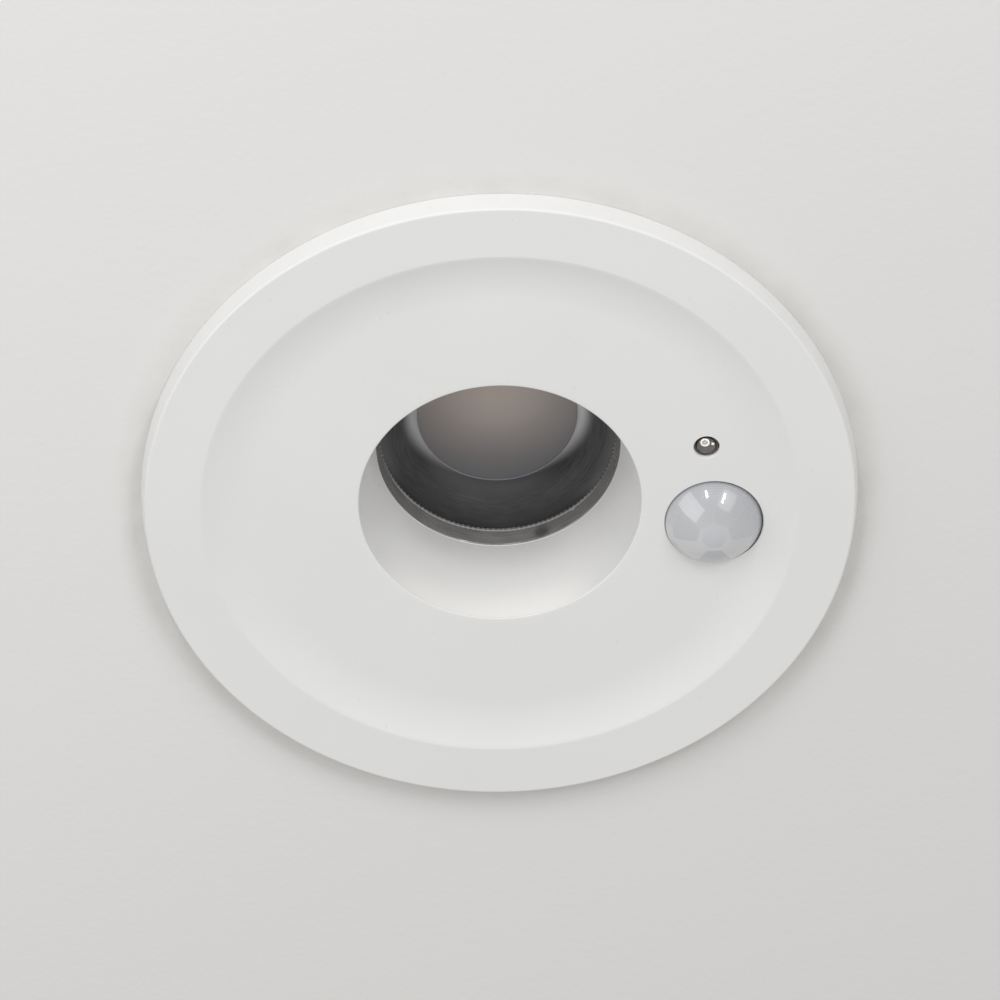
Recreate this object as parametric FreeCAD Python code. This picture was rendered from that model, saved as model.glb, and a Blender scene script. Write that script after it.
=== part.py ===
import FreeCAD, Part
import math
import os

# Recessed downlight with a motion sensor and a light sensor in its bezel.
# Millimetres. The origin is the centre of the ceiling plane, which the back of the
# flange touches. +Z points up into the ceiling and the light shines towards -Z.
# The motion sensor lies on +X, and the two spring clips lie on +Y and -Y.

# Gaps that the pieces share
fit_gap = 0.05
free_gap = 0.3
cut_overrun = 1.0

# Bezel: flange, dish, baffle and collar
flange_radius = 55.0
flange_draft = 0.6
flange_depth = 3.4
flange_wall = 1.4
flange_fillet = 0.4
rim_wall = 1.2
crease_radius = 45.8
dish_floor_radius = 37.5
dish_depth = 1.4
floor_thickness = 1.8
mouth_radius = 21.7
mouth_fillet = 0.3
throat_radius = 18.9
throat_height = 14.0
throat_fillet = 0.25
baffle_wall = 1.6
baffle_root_fillet = 0.4
collar_radius = 45.0
collar_wall = 1.6
collar_height = 10.0
collar_fillet = 0.3
collar_shoulder = 0.6
ledge_thickness = 1.8
ledge_lap = 0.4

# Foam ring behind the flange
gasket_inner_gap = 0.6
gasket_outer_gap = 0.3

# Motion sensor
sensor_circle_radius = 33.0
dome_radius = 8.5
dome_height = 4.2
dome_wall = 0.6
dome_gap = 0.25
dome_flange_radius = 9.0
dome_flange_thickness = 1.0
can_radius = 4.15
can_height = 4.4
can_base_radius = 4.6
can_base_thickness = 0.5
can_leg_radius = 0.25
can_leg_ring_radius = 2.54
can_leg_angles = (45, 135, 270)
window_length = 4.2
window_width = 3.2
window_thickness = 0.3

# Light sensor
light_sensor_angle = -24.9
light_hole_radius = 2.1
package_radius = 1.45
package_length = 4.6
package_flange_radius = 1.65
package_flange_thickness = 0.8
package_sink = 0.9
sleeve_radius = 2.6
sleeve_wall = 0.7
lead_width = 0.45
lead_offset = 0.65
lead_depth = 2.2
cup_length = 0.95
cup_height = 0.6

# Sensor board and its tray
board_inner_radius = 24.6
board_outer_radius = 41.8
board_low_y = -18.2
board_high_y = 13.6
board_height = 7.0
board_thickness = 1.2
solder_tail = 0.8
tray_thickness = 1.4
tray_hole_radius = 7.4
tray_post_radius = 1.5
tray_post_ring_radius = 9.6
tray_post_angles = (90, 232, 307)
board_boss_radius = 2.2
board_boss_ring_radius = 12.6
board_boss_angles = (59, 127, -70)
board_screw_length = 5.0
socket_length = 7.0
socket_width = 4.6
socket_height = 4.0
socket_x = 32.0
chip_length = 6.2
chip_width = 4.0
chip_height = 1.5
chip_x_shares = (0.11, 0.84, 0.48, 0.25)
chip_y_shares = (0.50, 0.47, 0.27, 0.34)

# Optic
ring_height = 3.5
ring_taper = 0.5
optic_radius = 21.4
reflector_height = 8.5
reflector_exit_radius = 12.6
bowl_depth = 4.8
bowl_bulge = 0.55
reflector_wall = 1.0
reflector_flange = 1.2
diffuser_radius = 13.5
diffuser_thickness = 1.6
spacer_wall = 2.4
emitter_radius = 8.5
emitter_dam_width = 1.0
emitter_height = 0.9
led_board_radius = 20.0
led_board_thickness = 1.6
led_screw_ring_radius = 17.4
led_screw_angles = (0, 120, 240)
led_screw_length = 4.2
thermal_pad_radius = 19.0
thermal_pad_thickness = 0.4

# Heat sink and its seal
seal_thickness = 0.6
sink_radius = 44.4
sink_flat = 37.0
sink_wall = 2.0
sink_base = 3.0
fin_count = 14
fin_edge = 3.2
fin_thickness = 1.6
fin_height = 12.0
fin_inset = 2.0
sink_post_radius = 3.4
bezel_boss_x = 31.0
bezel_boss_y = 22.0
bezel_screw_length = 30.0
led_hole_radius = 2.4
sensor_hole_radius = 1.7
clip_boss_half_width = 4.0
clip_boss_depth = 4.0
clip_boss_height = 6.0

# Leads that the body holds
led_lead_radius = 0.7
led_lead_spacing = 1.8
led_lead_start = 16.4
led_lead_rise = 26.5
led_lead_bend = 3.0
sensor_lead_radius = 1.1
sensor_lead_run = 38.0
sensor_lead_place_share = 0.912
sensor_lead_bend = 4.5
lead_end_gap = 0.1

# Spring clips, drawn for the side of +Y
clip_standoff = 4.0
clip_pivot_z = 22.5
clip_rest_angle = 33.0
clip_pin_radius = 1.5
clip_pin_head_radius = 2.2
clip_pin_head = 0.7
bracket_thickness = 1.0
bracket_half_width = 8.2
bracket_low_z = 12.0
bracket_high_z = 32.4
bracket_ear_low_z = 18.5
bracket_ear_high_z = 26.5
bracket_ear_margin = 2.8
bracket_ear_fillet = 2.0
bracket_screw_low_z = 15.0
bracket_screw_length = 5.0
tab_low = 13.0
tab_high = 15.0
tab_thickness = 0.7
tab_side = 0.6
tab_gap = 0.4
arm_thickness = 1.0
arm_half_width = 6.8
arm_length = 27.0
arm_web_start = 4.2
arm_ear_length = 10.0
arm_ear_radius = 2.2
arm_heel_depth = 2.0
arm_heel_gap = 0.06
pad_start = 20.0
pad_wall = 1.4
pad_foot = 1.9
pad_top = 0.9
pad_side = 0.7
spring_wire_radius = 0.5
spring_coil_radius = 2.4
spring_spacing = 1.5
spring_turns = 5
spring_body_leg = 9.0
spring_arm_reach = 18.0
spring_seat_gap = 0.06

# Driver case
case_half_length = 39.0
case_bow = 3.2
case_half_width = 32.0
case_wall = 2.0
case_floor = 2.0
case_cover = 2.0
case_height = 19.0
case_lift = 2.0
cover_rim = 1.6
cover_rim_depth = 2.0
case_screw_inset = 8.26
case_screw_edge = 8.0
case_screw_length = 8.0
cover_screw_inset = 5.08
cover_screw_edge = 5.5
cover_boss_radius = 2.8
cover_screw_length = 8.0
terminal_bay = 20.1
partition_thickness = 1.6
wire_slot_y = 14.9
wire_slot_width = 5.6
wire_slot_lift = 0.6

# Driver board and what stands on it
driver_board_side_gap = 1.0
driver_board_round_gap = 0.8
driver_board_lift = 3.0
driver_board_thickness = 1.6
driver_boss_radius = 2.8
driver_boss_places_share = ((0.114, 0.53), (0.907, 0.60), (0.907, -0.60))
driver_board_screw_length = 4.0
core_length = 16.0
core_depth = 5.0
core_height = 10.6
core_yoke = 2.4
core_leg = 4.4
coil_wall = 2.2
transformer_place_share = (0.456, 0.125)
capacitor_radius = 5.0
capacitor_height = 11.0
capacitor_place_share = (0.171, 0.281)
x_capacitor_length = 13.0
x_capacitor_width = 6.0
x_capacitor_height = 10.0
x_capacitor_place_share = (0.816, -0.375)
inductor_radius = 5.2
inductor_height = 9.0
inductor_flange = 1.2
inductor_wind_radius = 4.2
inductor_place_share = (0.760, 0.406)
fuse_radius = 2.2
fuse_length = 8.0
fuse_place_share = (0.932, 0.188)
varistor_radius = 4.0
varistor_thickness = 3.2
varistor_place_share = (0.570, -0.281)
power_chip_length = 7.0
power_chip_width = 5.0
power_chip_height = 2.0
power_chip_places_share = ((0.31, 0.66), (0.52, 0.70), (0.428, -0.30), (0.171, -0.53))

# Setting dials
time_dial_place_share = (0.456, -0.6125)
lux_dial_place_share = (0.722, -0.6125)
dial_radius = 4.2
dial_height = 3.0
dial_recess = 0.9
dial_slot_width = 1.0
dial_slot_depth = 1.2
dial_pointer_radius = 0.4
dial_stem_radius = 1.8
dial_tip_radius = 1.2
dial_tip_length = 3.0
pot_side = 8.0
pot_height = 6.0

# Terminals
terminal_count = 4
terminal_spacing = 5.4
terminal_gap = 3.0
terminal_length = 12.0
terminal_height = 10.0
terminal_end_wall = 0.7
terminal_clamp_length = 10.0
terminal_clamp_width = 3.8
terminal_clamp_height = 5.4
terminal_clamp_lift = 1.6
wire_hole_radius = 1.5
terminal_screw_radius = 1.2
terminal_screw_head_radius = 1.7
terminal_screw_offset = 2.7
terminal_screw_sink = 0.6

# Cable entries
grommet_y = 8.0
grommet_lift = 8.0
grommet_bore_radius = 4.0
grommet_neck_radius = 5.2
grommet_flange_radius = 6.0
grommet_flange = 1.2

# Terminal lid
lid_hinge_step = 0.1
lid_hinge_lift = 1.3
lid_barrel_radius = 1.9
lid_barrel_half_length = 8.8
lid_lug_width = 2.6
lid_lug_gap = 0.4
lid_half_width = 14.6
lid_thickness = 1.8
lid_edge_gap = 0.4
lid_lip = 0.6
lid_pin_radius = 1.0
lid_grip_width = 10.0
lid_grip_depth = 1.2
lid_grip_height = 0.8

# Screws
m25_shank_radius = 1.25
m25_head_radius = 2.2
m25_head_height = 1.5
m3_shank_radius = 1.5
m3_head_radius = 2.7
m3_head_height = 2.0
recess_share = 0.5
recess_width_share = 0.22

# Sizes that the ones above give
fin_spacing = (sink_flat - fin_edge) * 2 / (fin_count - 1)
clip_pivot_y = sink_flat + clip_standoff
bracket_ear_y = clip_pivot_y + bracket_ear_margin
floor_front = dish_depth - flange_depth
floor_back = floor_front + floor_thickness
collar_inner_radius = collar_radius - collar_wall
dome_centre = floor_front - dome_height + dome_radius
flange_seat = floor_back + dome_flange_thickness
board_top = board_height + board_thickness
ring_top = throat_height + ring_height
ring_top_radius = throat_radius - ring_taper
bowl_top = ring_top + bowl_depth
led_face = ring_top + reflector_height
pad_low = led_face + led_board_thickness
sink_low = pad_low + thermal_pad_thickness
sink_top = sink_low + sink_base
skirt_low = collar_height + seal_thickness
case_low = sink_top + fin_height + case_lift
case_inside = case_low + case_floor
case_top = case_inside + case_height - case_floor
cover_top = case_top + case_cover
driver_low = case_inside + driver_board_lift
driver_top = driver_low + driver_board_thickness
case_radius = case_half_length + case_bow
partition_x = case_half_length - case_wall - terminal_bay
driver_board_low_x = case_wall + driver_board_side_gap - case_half_length
driver_board_high_x = partition_x - free_gap
driver_board_span = driver_board_high_x - driver_board_low_x
driver_board_half_width = case_half_width - case_wall - driver_board_side_gap
driver_board_radius = case_radius - case_wall - driver_board_round_gap
terminal_x = partition_x + partition_thickness + terminal_gap
lid_hinge_x = partition_x + partition_thickness + lid_hinge_step
lid_hinge_z = cover_top + lid_hinge_lift
grommet_z = case_inside + grommet_lift
terminal_top = case_inside + terminal_height
far = flange_radius * 2
tiny_share = 1e-6


# Shapes

def at(x, y, z):
    return FreeCAD.Vector(x, y, z)


def cylinder(radius, low, high, x=0, y=0):
    return Part.makeCylinder(radius, high - low, at(x, y, low))


def tube(outer, inner, low, high, x=0, y=0):
    bore = cylinder(inner, low - cut_overrun, high + cut_overrun, x, y)
    return cylinder(outer, low, high, x, y).cut(bore)


def block(x0, x1, y0, y1, z0, z1):
    return Part.makeBox(x1 - x0, y1 - y0, z1 - z0, at(x0, y0, z0))


def centred(length, width, low, high, x=0, y=0):
    return block(x - length / 2, x + length / 2, y - width / 2, y + width / 2, low, high)


def rod_x(radius, x0, x1, y, z):
    return Part.makeCylinder(radius, x1 - x0, at(x0, y, z), at(1, 0, 0))


def rod_y(radius, y0, y1, x, z):
    return Part.makeCylinder(radius, y1 - y0, at(x, y0, z), at(0, 1, 0))


def joined(shapes):
    first = shapes[0]
    if len(shapes) == 1:
        return first
    return first.fuse(shapes[1:]).removeSplitter()


def polar(radius, angle, x=0, y=0):
    turn = math.radians(angle)
    return x + radius * math.cos(turn), y + radius * math.sin(turn)


# A closed outline through corners (u, v) or (u, v, fillet), laid out by place(u, v).
def outline(corners, place):
    spans = []
    for index, corner in enumerate(corners):
        before = corners[index - 1]
        after = corners[(index + 1) % len(corners)]
        point = place(corner[0], corner[1])
        if len(corner) == 2:
            spans.append((point, None, point))
            continue
        back = (place(before[0], before[1]) - point).normalize()
        ahead = (place(after[0], after[1]) - point).normalize()
        half = back.getAngle(ahead) / 2
        reach = corner[2] / math.tan(half)
        lift = corner[2] / math.sin(half) - corner[2]
        middle = (back + ahead).normalize()
        spans.append((point + back * reach, point + middle * lift, point + ahead * reach))
    edges = []
    for index, span in enumerate(spans):
        start, middle, end = span
        if middle is not None:
            edges.append(Part.Arc(start, middle, end).toShape())
        following = spans[(index + 1) % len(spans)][0]
        if end.distanceToPoint(following) > far * tiny_share:
            edges.append(Part.LineSegment(end, following).toShape())
    return Part.Face(Part.Wire(edges))


def turned(corners, x=0, y=0):
    face = outline(corners, lambda u, v: at(x + u, y, v))
    return face.revolve(at(x, y, 0), at(0, 0, 1), 360)


def plate(corners, low, high):
    face = outline(corners, lambda u, v: at(u, v, low))
    return face.extrude(at(0, 0, high - low))


# A plate that stands across X, with its corners in Y and Z.
def sheet(corners, x0, x1):
    face = outline(corners, lambda u, v: at(x0, u, v))
    return face.extrude(at(x1 - x0, 0, 0))


# A round bar along a path of straight runs, joined by arcs of one radius.
def bent_bar(points, radius, bend):
    edges = []
    start = points[0]
    for index in range(1, len(points) - 1):
        corner = points[index]
        back = (points[index - 1] - corner).normalize()
        ahead = (points[index + 1] - corner).normalize()
        half = back.getAngle(ahead) / 2
        reach = bend / math.tan(half)
        lift = bend / math.sin(half) - bend
        middle = corner + (back + ahead).normalize() * lift
        enter = corner + back * reach
        leave = corner + ahead * reach
        edges.append(Part.LineSegment(start, enter).toShape())
        edges.append(Part.Arc(enter, middle, leave).toShape())
        start = leave
    edges.append(Part.LineSegment(start, points[-1]).toShape())
    path = Part.Wire(edges)
    direction = points[1] - points[0]
    ring = Part.Wire(Part.makeCircle(radius, points[0], direction))
    return path.makePipeShell([ring], True, False)


# A cross-recessed screw. Its head stands on the seat, and its shank runs along direction.
def screw(shank_radius, length, head_radius, head_height, seat, direction):
    shank = cylinder(shank_radius, -length, 0)
    head = cylinder(head_radius, 0, head_height)
    low = head_height * recess_share
    high = head_height + cut_overrun
    long_side = head_radius * 2 * recess_share
    short_side = head_radius * 2 * recess_width_share
    cross = joined([
        centred(long_side, short_side, low, high),
        centred(short_side, long_side, low, high),
    ])
    body = shank.fuse(head).cut(cross)
    body.Placement = FreeCAD.Placement(seat, FreeCAD.Rotation(at(0, 0, -1), direction))
    return body


def save(name, shapes):
    whole = shapes if isinstance(shapes, list) else [shapes]
    solids = []
    for shape in whole:
        solids.extend(shape.Solids)
    for solid in solids:
        if not solid.isValid() or solid.Volume <= 0:
            print("not a sound solid:", name)
    result = solids[0] if len(solids) == 1 else Part.makeCompound(solids)
    result.exportStep(os.path.join("parts", name + ".step"))
    print(name, len(solids), "solids", round(sum(s.Volume for s in solids), 1), "mm3")


# Four places near the driver case's corners, set in from its round and from its sides.
def case_corners(inset, edge):
    y = case_half_width - edge
    x = math.sqrt((case_radius - inset) ** 2 - y ** 2)
    return [(side * x, other * y) for side in (1, -1) for other in (1, -1)]


# A place on the driver board, as shares of its length and of the case's half width.
def board_place(share):
    return driver_board_low_x + share[0] * driver_board_span, share[1] * case_half_width


# Places that several pieces share
dome_place = (sensor_circle_radius, 0)
light_place = polar(sensor_circle_radius, light_sensor_angle)
board_boss_places = [polar(board_boss_ring_radius, a, *dome_place) for a in board_boss_angles]
tray_post_places = [polar(tray_post_ring_radius, a, *dome_place) for a in tray_post_angles]
bezel_boss_places = [(x * bezel_boss_x, y * bezel_boss_y) for x in (1, -1) for y in (1, -1)]
case_screw_places = case_corners(case_screw_inset, case_screw_edge)
cover_screw_places = case_corners(cover_screw_inset, cover_screw_edge)
dial_places = {
    "time_dial": board_place(time_dial_place_share),
    "lux_dial": board_place(lux_dial_place_share),
}
driver_boss_places = [board_place(share) for share in driver_boss_places_share]
sensor_lead_x = driver_board_low_x + sensor_lead_place_share * driver_board_span
transformer_x, transformer_y = board_place(transformer_place_share)
varistor_x, varistor_y = board_place(varistor_place_share)
fuse_x, fuse_y = board_place(fuse_place_share)
terminal_rows = [
    (index - (terminal_count - 1) / 2) * terminal_spacing for index in range(terminal_count)
]


# The heat sink's outline, a circle with two flats, drawn in by inset.
def sink_outline(inset, low, high):
    round_part = cylinder(sink_radius - inset, low, high)
    flats = block(-far, far, inset - sink_flat, sink_flat - inset, low, high)
    return round_part.common(flats)


# The driver case's outline, a rectangle with rounded corners, drawn in by inset.
def case_outline(inset, low, high):
    half_length = case_half_length - inset
    half_width = case_half_width - inset
    sides = block(-half_length, half_length, -half_width, half_width, low, high)
    return sides.common(cylinder(case_radius - inset, low, high))


# The sensor board's outline, a stretch of a ring beside the baffle.
def board_outline(low, high):
    band = tube(board_outer_radius, board_inner_radius, low, high)
    return band.common(block(0, far, board_low_y, board_high_y, low, high))


# Bezel
# The dish's wall is the arc that leaves the flat floor and ends at the crease.
def bezel():
    dish_width = crease_radius - dish_floor_radius
    dish_tangent = (dish_width ** 2 + dish_depth ** 2) / (2 * dish_width)
    dish_corner = dish_floor_radius + dish_tangent
    dish_slope = math.atan2(dish_depth, crease_radius - dish_corner)
    dish_arc = dish_tangent / math.tan(dish_slope / 2)
    rim_front = flange_radius - flange_draft
    pocket_floor = flange_wall - flange_depth
    shell = turned([
        (flange_radius, 0),
        (rim_front, -flange_depth, flange_fillet),
        (crease_radius, -flange_depth),
        (dish_corner, floor_front, dish_arc),
        (mouth_radius, floor_front, mouth_fillet),
        (throat_radius, throat_height, throat_fillet),
        (throat_radius + baffle_wall, throat_height),
        (mouth_radius + baffle_wall, floor_back, baffle_root_fillet),
        (collar_inner_radius, floor_back),
        (collar_inner_radius, collar_height),
        (collar_radius, collar_height, collar_fillet),
        (collar_radius, 0),
        (collar_radius + collar_shoulder, 0),
        (collar_radius + collar_shoulder, pocket_floor),
        (rim_front - rim_wall, pocket_floor),
        (flange_radius - rim_wall, 0),
    ])
    inside = sink_flat - sink_wall - ledge_lap
    ledge_low = collar_height - ledge_thickness
    ledge = cylinder(collar_inner_radius + collar_wall / 2, ledge_low, collar_height)
    ledge = ledge.cut(block(-far, far, -inside, inside, ledge_low, collar_height))
    bosses = [
        cylinder(board_boss_radius, floor_back, board_height, x, y)
        for x, y in board_boss_places
    ]
    bosses += [
        cylinder(sink_post_radius, floor_back, collar_height, x, y)
        for x, y in bezel_boss_places
    ]
    body = joined([shell, ledge] + bosses)
    cuts = [
        cylinder(m25_shank_radius + fit_gap, floor_back, board_height + cut_overrun, x, y)
        for x, y in board_boss_places
    ]
    cuts += [
        cylinder(m3_shank_radius + fit_gap, floor_back, collar_height + cut_overrun, x, y)
        for x, y in bezel_boss_places
    ]
    cuts.append(Part.makeSphere(dome_radius + dome_gap, at(*dome_place, dome_centre)))
    cuts.append(cylinder(light_hole_radius, floor_front - cut_overrun, floor_back + cut_overrun,
                         *light_place))
    return body.cut(cuts)


def ceiling_gasket():
    inner = collar_radius + collar_shoulder + gasket_inner_gap
    outer = flange_radius - flange_draft - rim_wall - gasket_outer_gap
    return tube(outer, inner, flange_wall - flange_depth, 0)


# Motion sensor
def pir_lens():
    dome = Part.makeSphere(dome_radius, at(*dome_place, dome_centre))
    dome = dome.common(cylinder(dome_radius, dome_centre - dome_radius, flange_seat, *dome_place))
    rim = cylinder(dome_flange_radius, floor_back, flange_seat, *dome_place)
    hollow = Part.makeSphere(dome_radius - dome_wall, at(*dome_place, dome_centre))
    return joined([dome, rim]).cut(hollow)


def pir_detector():
    base_low = board_height - can_base_thickness
    can = cylinder(can_radius, board_height - can_height, base_low, *dome_place)
    base = cylinder(can_base_radius, base_low, board_height, *dome_place)
    leads = [
        cylinder(can_leg_radius, board_height, board_top + solder_tail,
                 *polar(can_leg_ring_radius, angle, *dome_place))
        for angle in can_leg_angles
    ]
    return joined([can, base] + leads)


def pir_window():
    face = board_height - can_height
    return centred(window_length, window_width, face - window_thickness, face, *dome_place)


# Light sensor
def light_sensor_metal():
    x, y = light_place
    tip = floor_front + package_sink
    top = board_top + solder_tail
    half = lead_width / 2
    low = tip + lead_depth
    posts = [
        block(x + side * lead_offset - half, x + side * lead_offset + half,
              y - half, y + half, low, top)
        for side in (1, -1)
    ]
    cup = centred(cup_length, cup_length, low - cup_height, low, x - lead_offset + half, y)
    return [posts[0], joined([posts[1], cup])]


def light_sensor():
    tip = floor_front + package_sink
    shoulder = tip + package_radius
    top = tip + package_length
    ball = Part.makeSphere(package_radius, at(*light_place, shoulder))
    body = cylinder(package_radius, shoulder, top, *light_place)
    rim = cylinder(package_flange_radius, top - package_flange_thickness, top, *light_place)
    return joined([ball, body, rim]).cut(light_sensor_metal())


def light_sensor_sleeve():
    return tube(sleeve_radius, sleeve_radius - sleeve_wall, floor_back, board_height,
                *light_place)


# Sensor board and tray
def sensor_tray():
    low = flange_seat
    high = low + tray_thickness
    body = board_outline(low, high)
    cuts = [cylinder(tray_hole_radius, low - cut_overrun, high + cut_overrun, *dome_place)]
    cuts.append(cylinder(sleeve_radius + free_gap, low - cut_overrun, high + cut_overrun,
                         *light_place))
    cuts += [
        cylinder(board_boss_radius + free_gap, low - cut_overrun, high + cut_overrun, x, y)
        for x, y in board_boss_places
    ]
    posts = [
        cylinder(tray_post_radius, low, board_height, x, y) for x, y in tray_post_places
    ]
    return joined([body.cut(cuts)] + posts)


def sensor_board():
    low = board_height - cut_overrun
    high = board_top + cut_overrun
    cuts = [
        cylinder(m25_shank_radius + fit_gap, low, high, x, y) for x, y in board_boss_places
    ]
    cuts += [
        cylinder(can_leg_radius + fit_gap, low, high,
                 *polar(can_leg_ring_radius, angle, *dome_place))
        for angle in can_leg_angles
    ]
    x, y = light_place
    slot = lead_width + fit_gap * 2
    cuts += [
        centred(slot, slot, low, high, x + side * lead_offset, y) for side in (1, -1)
    ]
    return board_outline(board_height, board_top).cut(cuts)


def sensor_board_parts():
    width = board_outer_radius - board_inner_radius
    depth = board_high_y - board_low_y
    return [
        centred(chip_width, chip_width, board_top, board_top + chip_height,
                board_inner_radius + u * width, board_low_y + v * depth)
        if index else
        centred(chip_width, chip_length, board_top, board_top + chip_height,
                board_inner_radius + u * width + chip_width / 2, board_low_y + v * depth)
        for index, (u, v) in enumerate(zip(chip_x_shares, chip_y_shares))
    ]


def sensor_socket():
    high = board_top + socket_height
    return centred(socket_length, socket_width, board_top, high, socket_x, fin_spacing)


def sensor_board_screws():
    return [
        screw(m25_shank_radius, board_screw_length, m25_head_radius, m25_head_height,
              at(x, y, board_top), at(0, 0, -1))
        for x, y in board_boss_places
    ]


# Optic
def lens_ring():
    return turned([
        (throat_radius, throat_height),
        (optic_radius, throat_height),
        (optic_radius, ring_top),
        (ring_top_radius, ring_top),
    ])


# The bowl's wall bulges outwards between its mouth and its exit.
def reflector():
    sleeve_inner = diffuser_radius + fit_gap * 2
    sleeve_outer = sleeve_inner + reflector_wall
    mouth = at(ring_top_radius, 0, ring_top)
    throat = at(reflector_exit_radius, 0, bowl_top)
    half_way = (mouth + throat) / 2
    across = (throat - mouth).cross(at(0, 1, 0)).normalize()
    bowl_middle = half_way - across * bowl_bulge
    flange_top = ring_top + reflector_flange
    corners = [
        at(sleeve_inner, 0, bowl_top),
        at(sleeve_inner, 0, led_face),
        at(sleeve_outer, 0, led_face),
        at(sleeve_outer, 0, bowl_top),
        at(ring_top_radius + reflector_wall, 0, flange_top),
        at(optic_radius, 0, flange_top),
        at(optic_radius, 0, ring_top),
        mouth,
    ]
    edges = [Part.Arc(mouth, bowl_middle, throat).toShape()]
    start = throat
    for corner in corners:
        edges.append(Part.LineSegment(start, corner).toShape())
        start = corner
    face = Part.Face(Part.Wire(edges))
    return face.revolve(at(0, 0, 0), at(0, 0, 1), 360)


def diffuser():
    return cylinder(diffuser_radius, bowl_top, bowl_top + diffuser_thickness)


def led_spacer():
    outer = diffuser_radius
    return tube(outer, outer - spacer_wall, bowl_top + diffuser_thickness, led_face)


def led_emitter():
    low = led_face - emitter_height
    dam = tube(emitter_radius + emitter_dam_width, emitter_radius, low, led_face)
    return joined([dam, cylinder(emitter_radius, low + emitter_height / 2, led_face)])


def led_board():
    body = cylinder(led_board_radius, led_face, pad_low)
    cuts = [
        cylinder(m25_shank_radius + fit_gap, led_face - cut_overrun, pad_low + cut_overrun,
                 *polar(led_screw_ring_radius, angle))
        for angle in led_screw_angles
    ]
    return body.cut(cuts)


def led_board_screws():
    return [
        screw(m25_shank_radius, led_screw_length, m25_head_radius, m25_head_height,
              at(*polar(led_screw_ring_radius, angle), led_face), at(0, 0, 1))
        for angle in led_screw_angles
    ]


def thermal_pad():
    body = cylinder(thermal_pad_radius, pad_low, sink_low)
    cuts = [
        cylinder(m25_shank_radius + free_gap, pad_low - cut_overrun, sink_low + cut_overrun,
                 *polar(led_screw_ring_radius, angle))
        for angle in led_screw_angles
    ]
    return body.cut(cuts)


# Heat sink
# A cast cup: its skirt stands on the collar, its base carries the lamp board, and its
# fins run along X above the base.
def heat_sink():
    skirt = sink_outline(0, skirt_low, sink_low)
    skirt = skirt.cut(sink_outline(sink_wall, skirt_low - cut_overrun, sink_low))
    fins = []
    for index in range(fin_count):
        y = (index - (fin_count - 1) / 2) * fin_spacing
        fin = block(-far, far, y - fin_thickness / 2, y + fin_thickness / 2,
                    sink_top, sink_top + fin_height)
        fins.append(fin.common(cylinder(sink_radius - fin_inset, sink_top, case_low)))
    posts = [
        cylinder(sink_post_radius, skirt_low, sink_low, x, y) for x, y in bezel_boss_places
    ]
    posts += [
        cylinder(sink_post_radius, sink_top, case_low, x, y) for x, y in case_screw_places
    ]
    inner_flat = sink_flat - sink_wall
    boss_low = bracket_screw_low_z - clip_boss_height / 2
    boss_high = bracket_screw_low_z + clip_boss_height / 2
    for low_y in (-inner_flat, inner_flat - clip_boss_depth):
        posts.append(block(-clip_boss_half_width, clip_boss_half_width,
                           low_y, low_y + clip_boss_depth, boss_low, boss_high))
    body = joined([skirt, sink_outline(0, sink_low, sink_top)] + fins + posts)
    cuts = []
    for x, y in bezel_boss_places:
        cuts.append(cylinder(m3_shank_radius + fit_gap, skirt_low - cut_overrun,
                             sink_top + cut_overrun, x, y))
        cuts.append(cylinder(m3_head_radius + free_gap, sink_top,
                             case_low + cut_overrun, x, y))
    for x, y in case_screw_places:
        cuts.append(cylinder(m3_shank_radius + fit_gap, case_low - case_screw_length,
                             case_low + cut_overrun, x, y))
    for angle in led_screw_angles:
        cuts.append(cylinder(m25_shank_radius + fit_gap, sink_low - cut_overrun,
                             led_face + led_screw_length + free_gap,
                             *polar(led_screw_ring_radius, angle)))
    for z in (bracket_screw_low_z, sink_low + sink_base / 2):
        reach = bracket_screw_length + free_gap
        cuts.append(rod_y(m25_shank_radius + fit_gap, sink_flat - reach,
                          sink_flat + cut_overrun, 0, z))
        cuts.append(rod_y(m25_shank_radius + fit_gap, -sink_flat - cut_overrun,
                          reach - sink_flat, 0, z))
    cuts.append(cylinder(led_hole_radius, sink_low - cut_overrun, case_low + cut_overrun,
                         -led_lead_rise, 0))
    cuts.append(cylinder(sensor_hole_radius, sink_low - cut_overrun, case_low + cut_overrun,
                         socket_x, fin_spacing))
    return body.cut(cuts)


def body_seal():
    ring = sink_outline(0, collar_height, skirt_low)
    hole = sink_outline(sink_wall, collar_height - cut_overrun, skirt_low + cut_overrun)
    return ring.cut(hole)


def bezel_screws():
    return [
        screw(m3_shank_radius, bezel_screw_length, m3_head_radius, m3_head_height,
              at(x, y, sink_top), at(0, 0, -1))
        for x, y in bezel_boss_places
    ]


# Leads that the body holds
def led_leads():
    end = driver_low - lead_end_gap
    level = led_face - led_lead_radius - lead_end_gap
    leads = []
    for side in (1, -1):
        y = side * led_lead_spacing / 2
        leads.append(bent_bar([
            at(-led_lead_start, y, level),
            at(-led_lead_rise, y, level),
            at(-led_lead_rise, y, end),
        ], led_lead_radius, led_lead_bend))
    return leads


def sensor_lead():
    start = board_top + socket_height + lead_end_gap
    return bent_bar([
        at(socket_x, fin_spacing, start),
        at(socket_x, fin_spacing, sensor_lead_run),
        at(sensor_lead_x, fin_spacing, sensor_lead_run),
        at(sensor_lead_x, fin_spacing, driver_low - lead_end_gap),
    ], sensor_lead_radius, sensor_lead_bend)


# Spring clips
# Every clip piece is drawn for the side of +Y. The other side is the same piece, turned
# half a turn about Z.
def other_side(shape):
    copy = shape.copy()
    copy.rotate(at(0, 0, 0), at(0, 0, 1), 180)
    return copy


# The arm is drawn level, with its pivot at Y 0 and Z 0, and then swung to rest.
def swung(shape):
    shape.rotate(at(0, 0, 0), at(1, 0, 0), -clip_rest_angle)
    shape.translate(at(0, clip_pivot_y, clip_pivot_z))
    return shape


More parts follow.
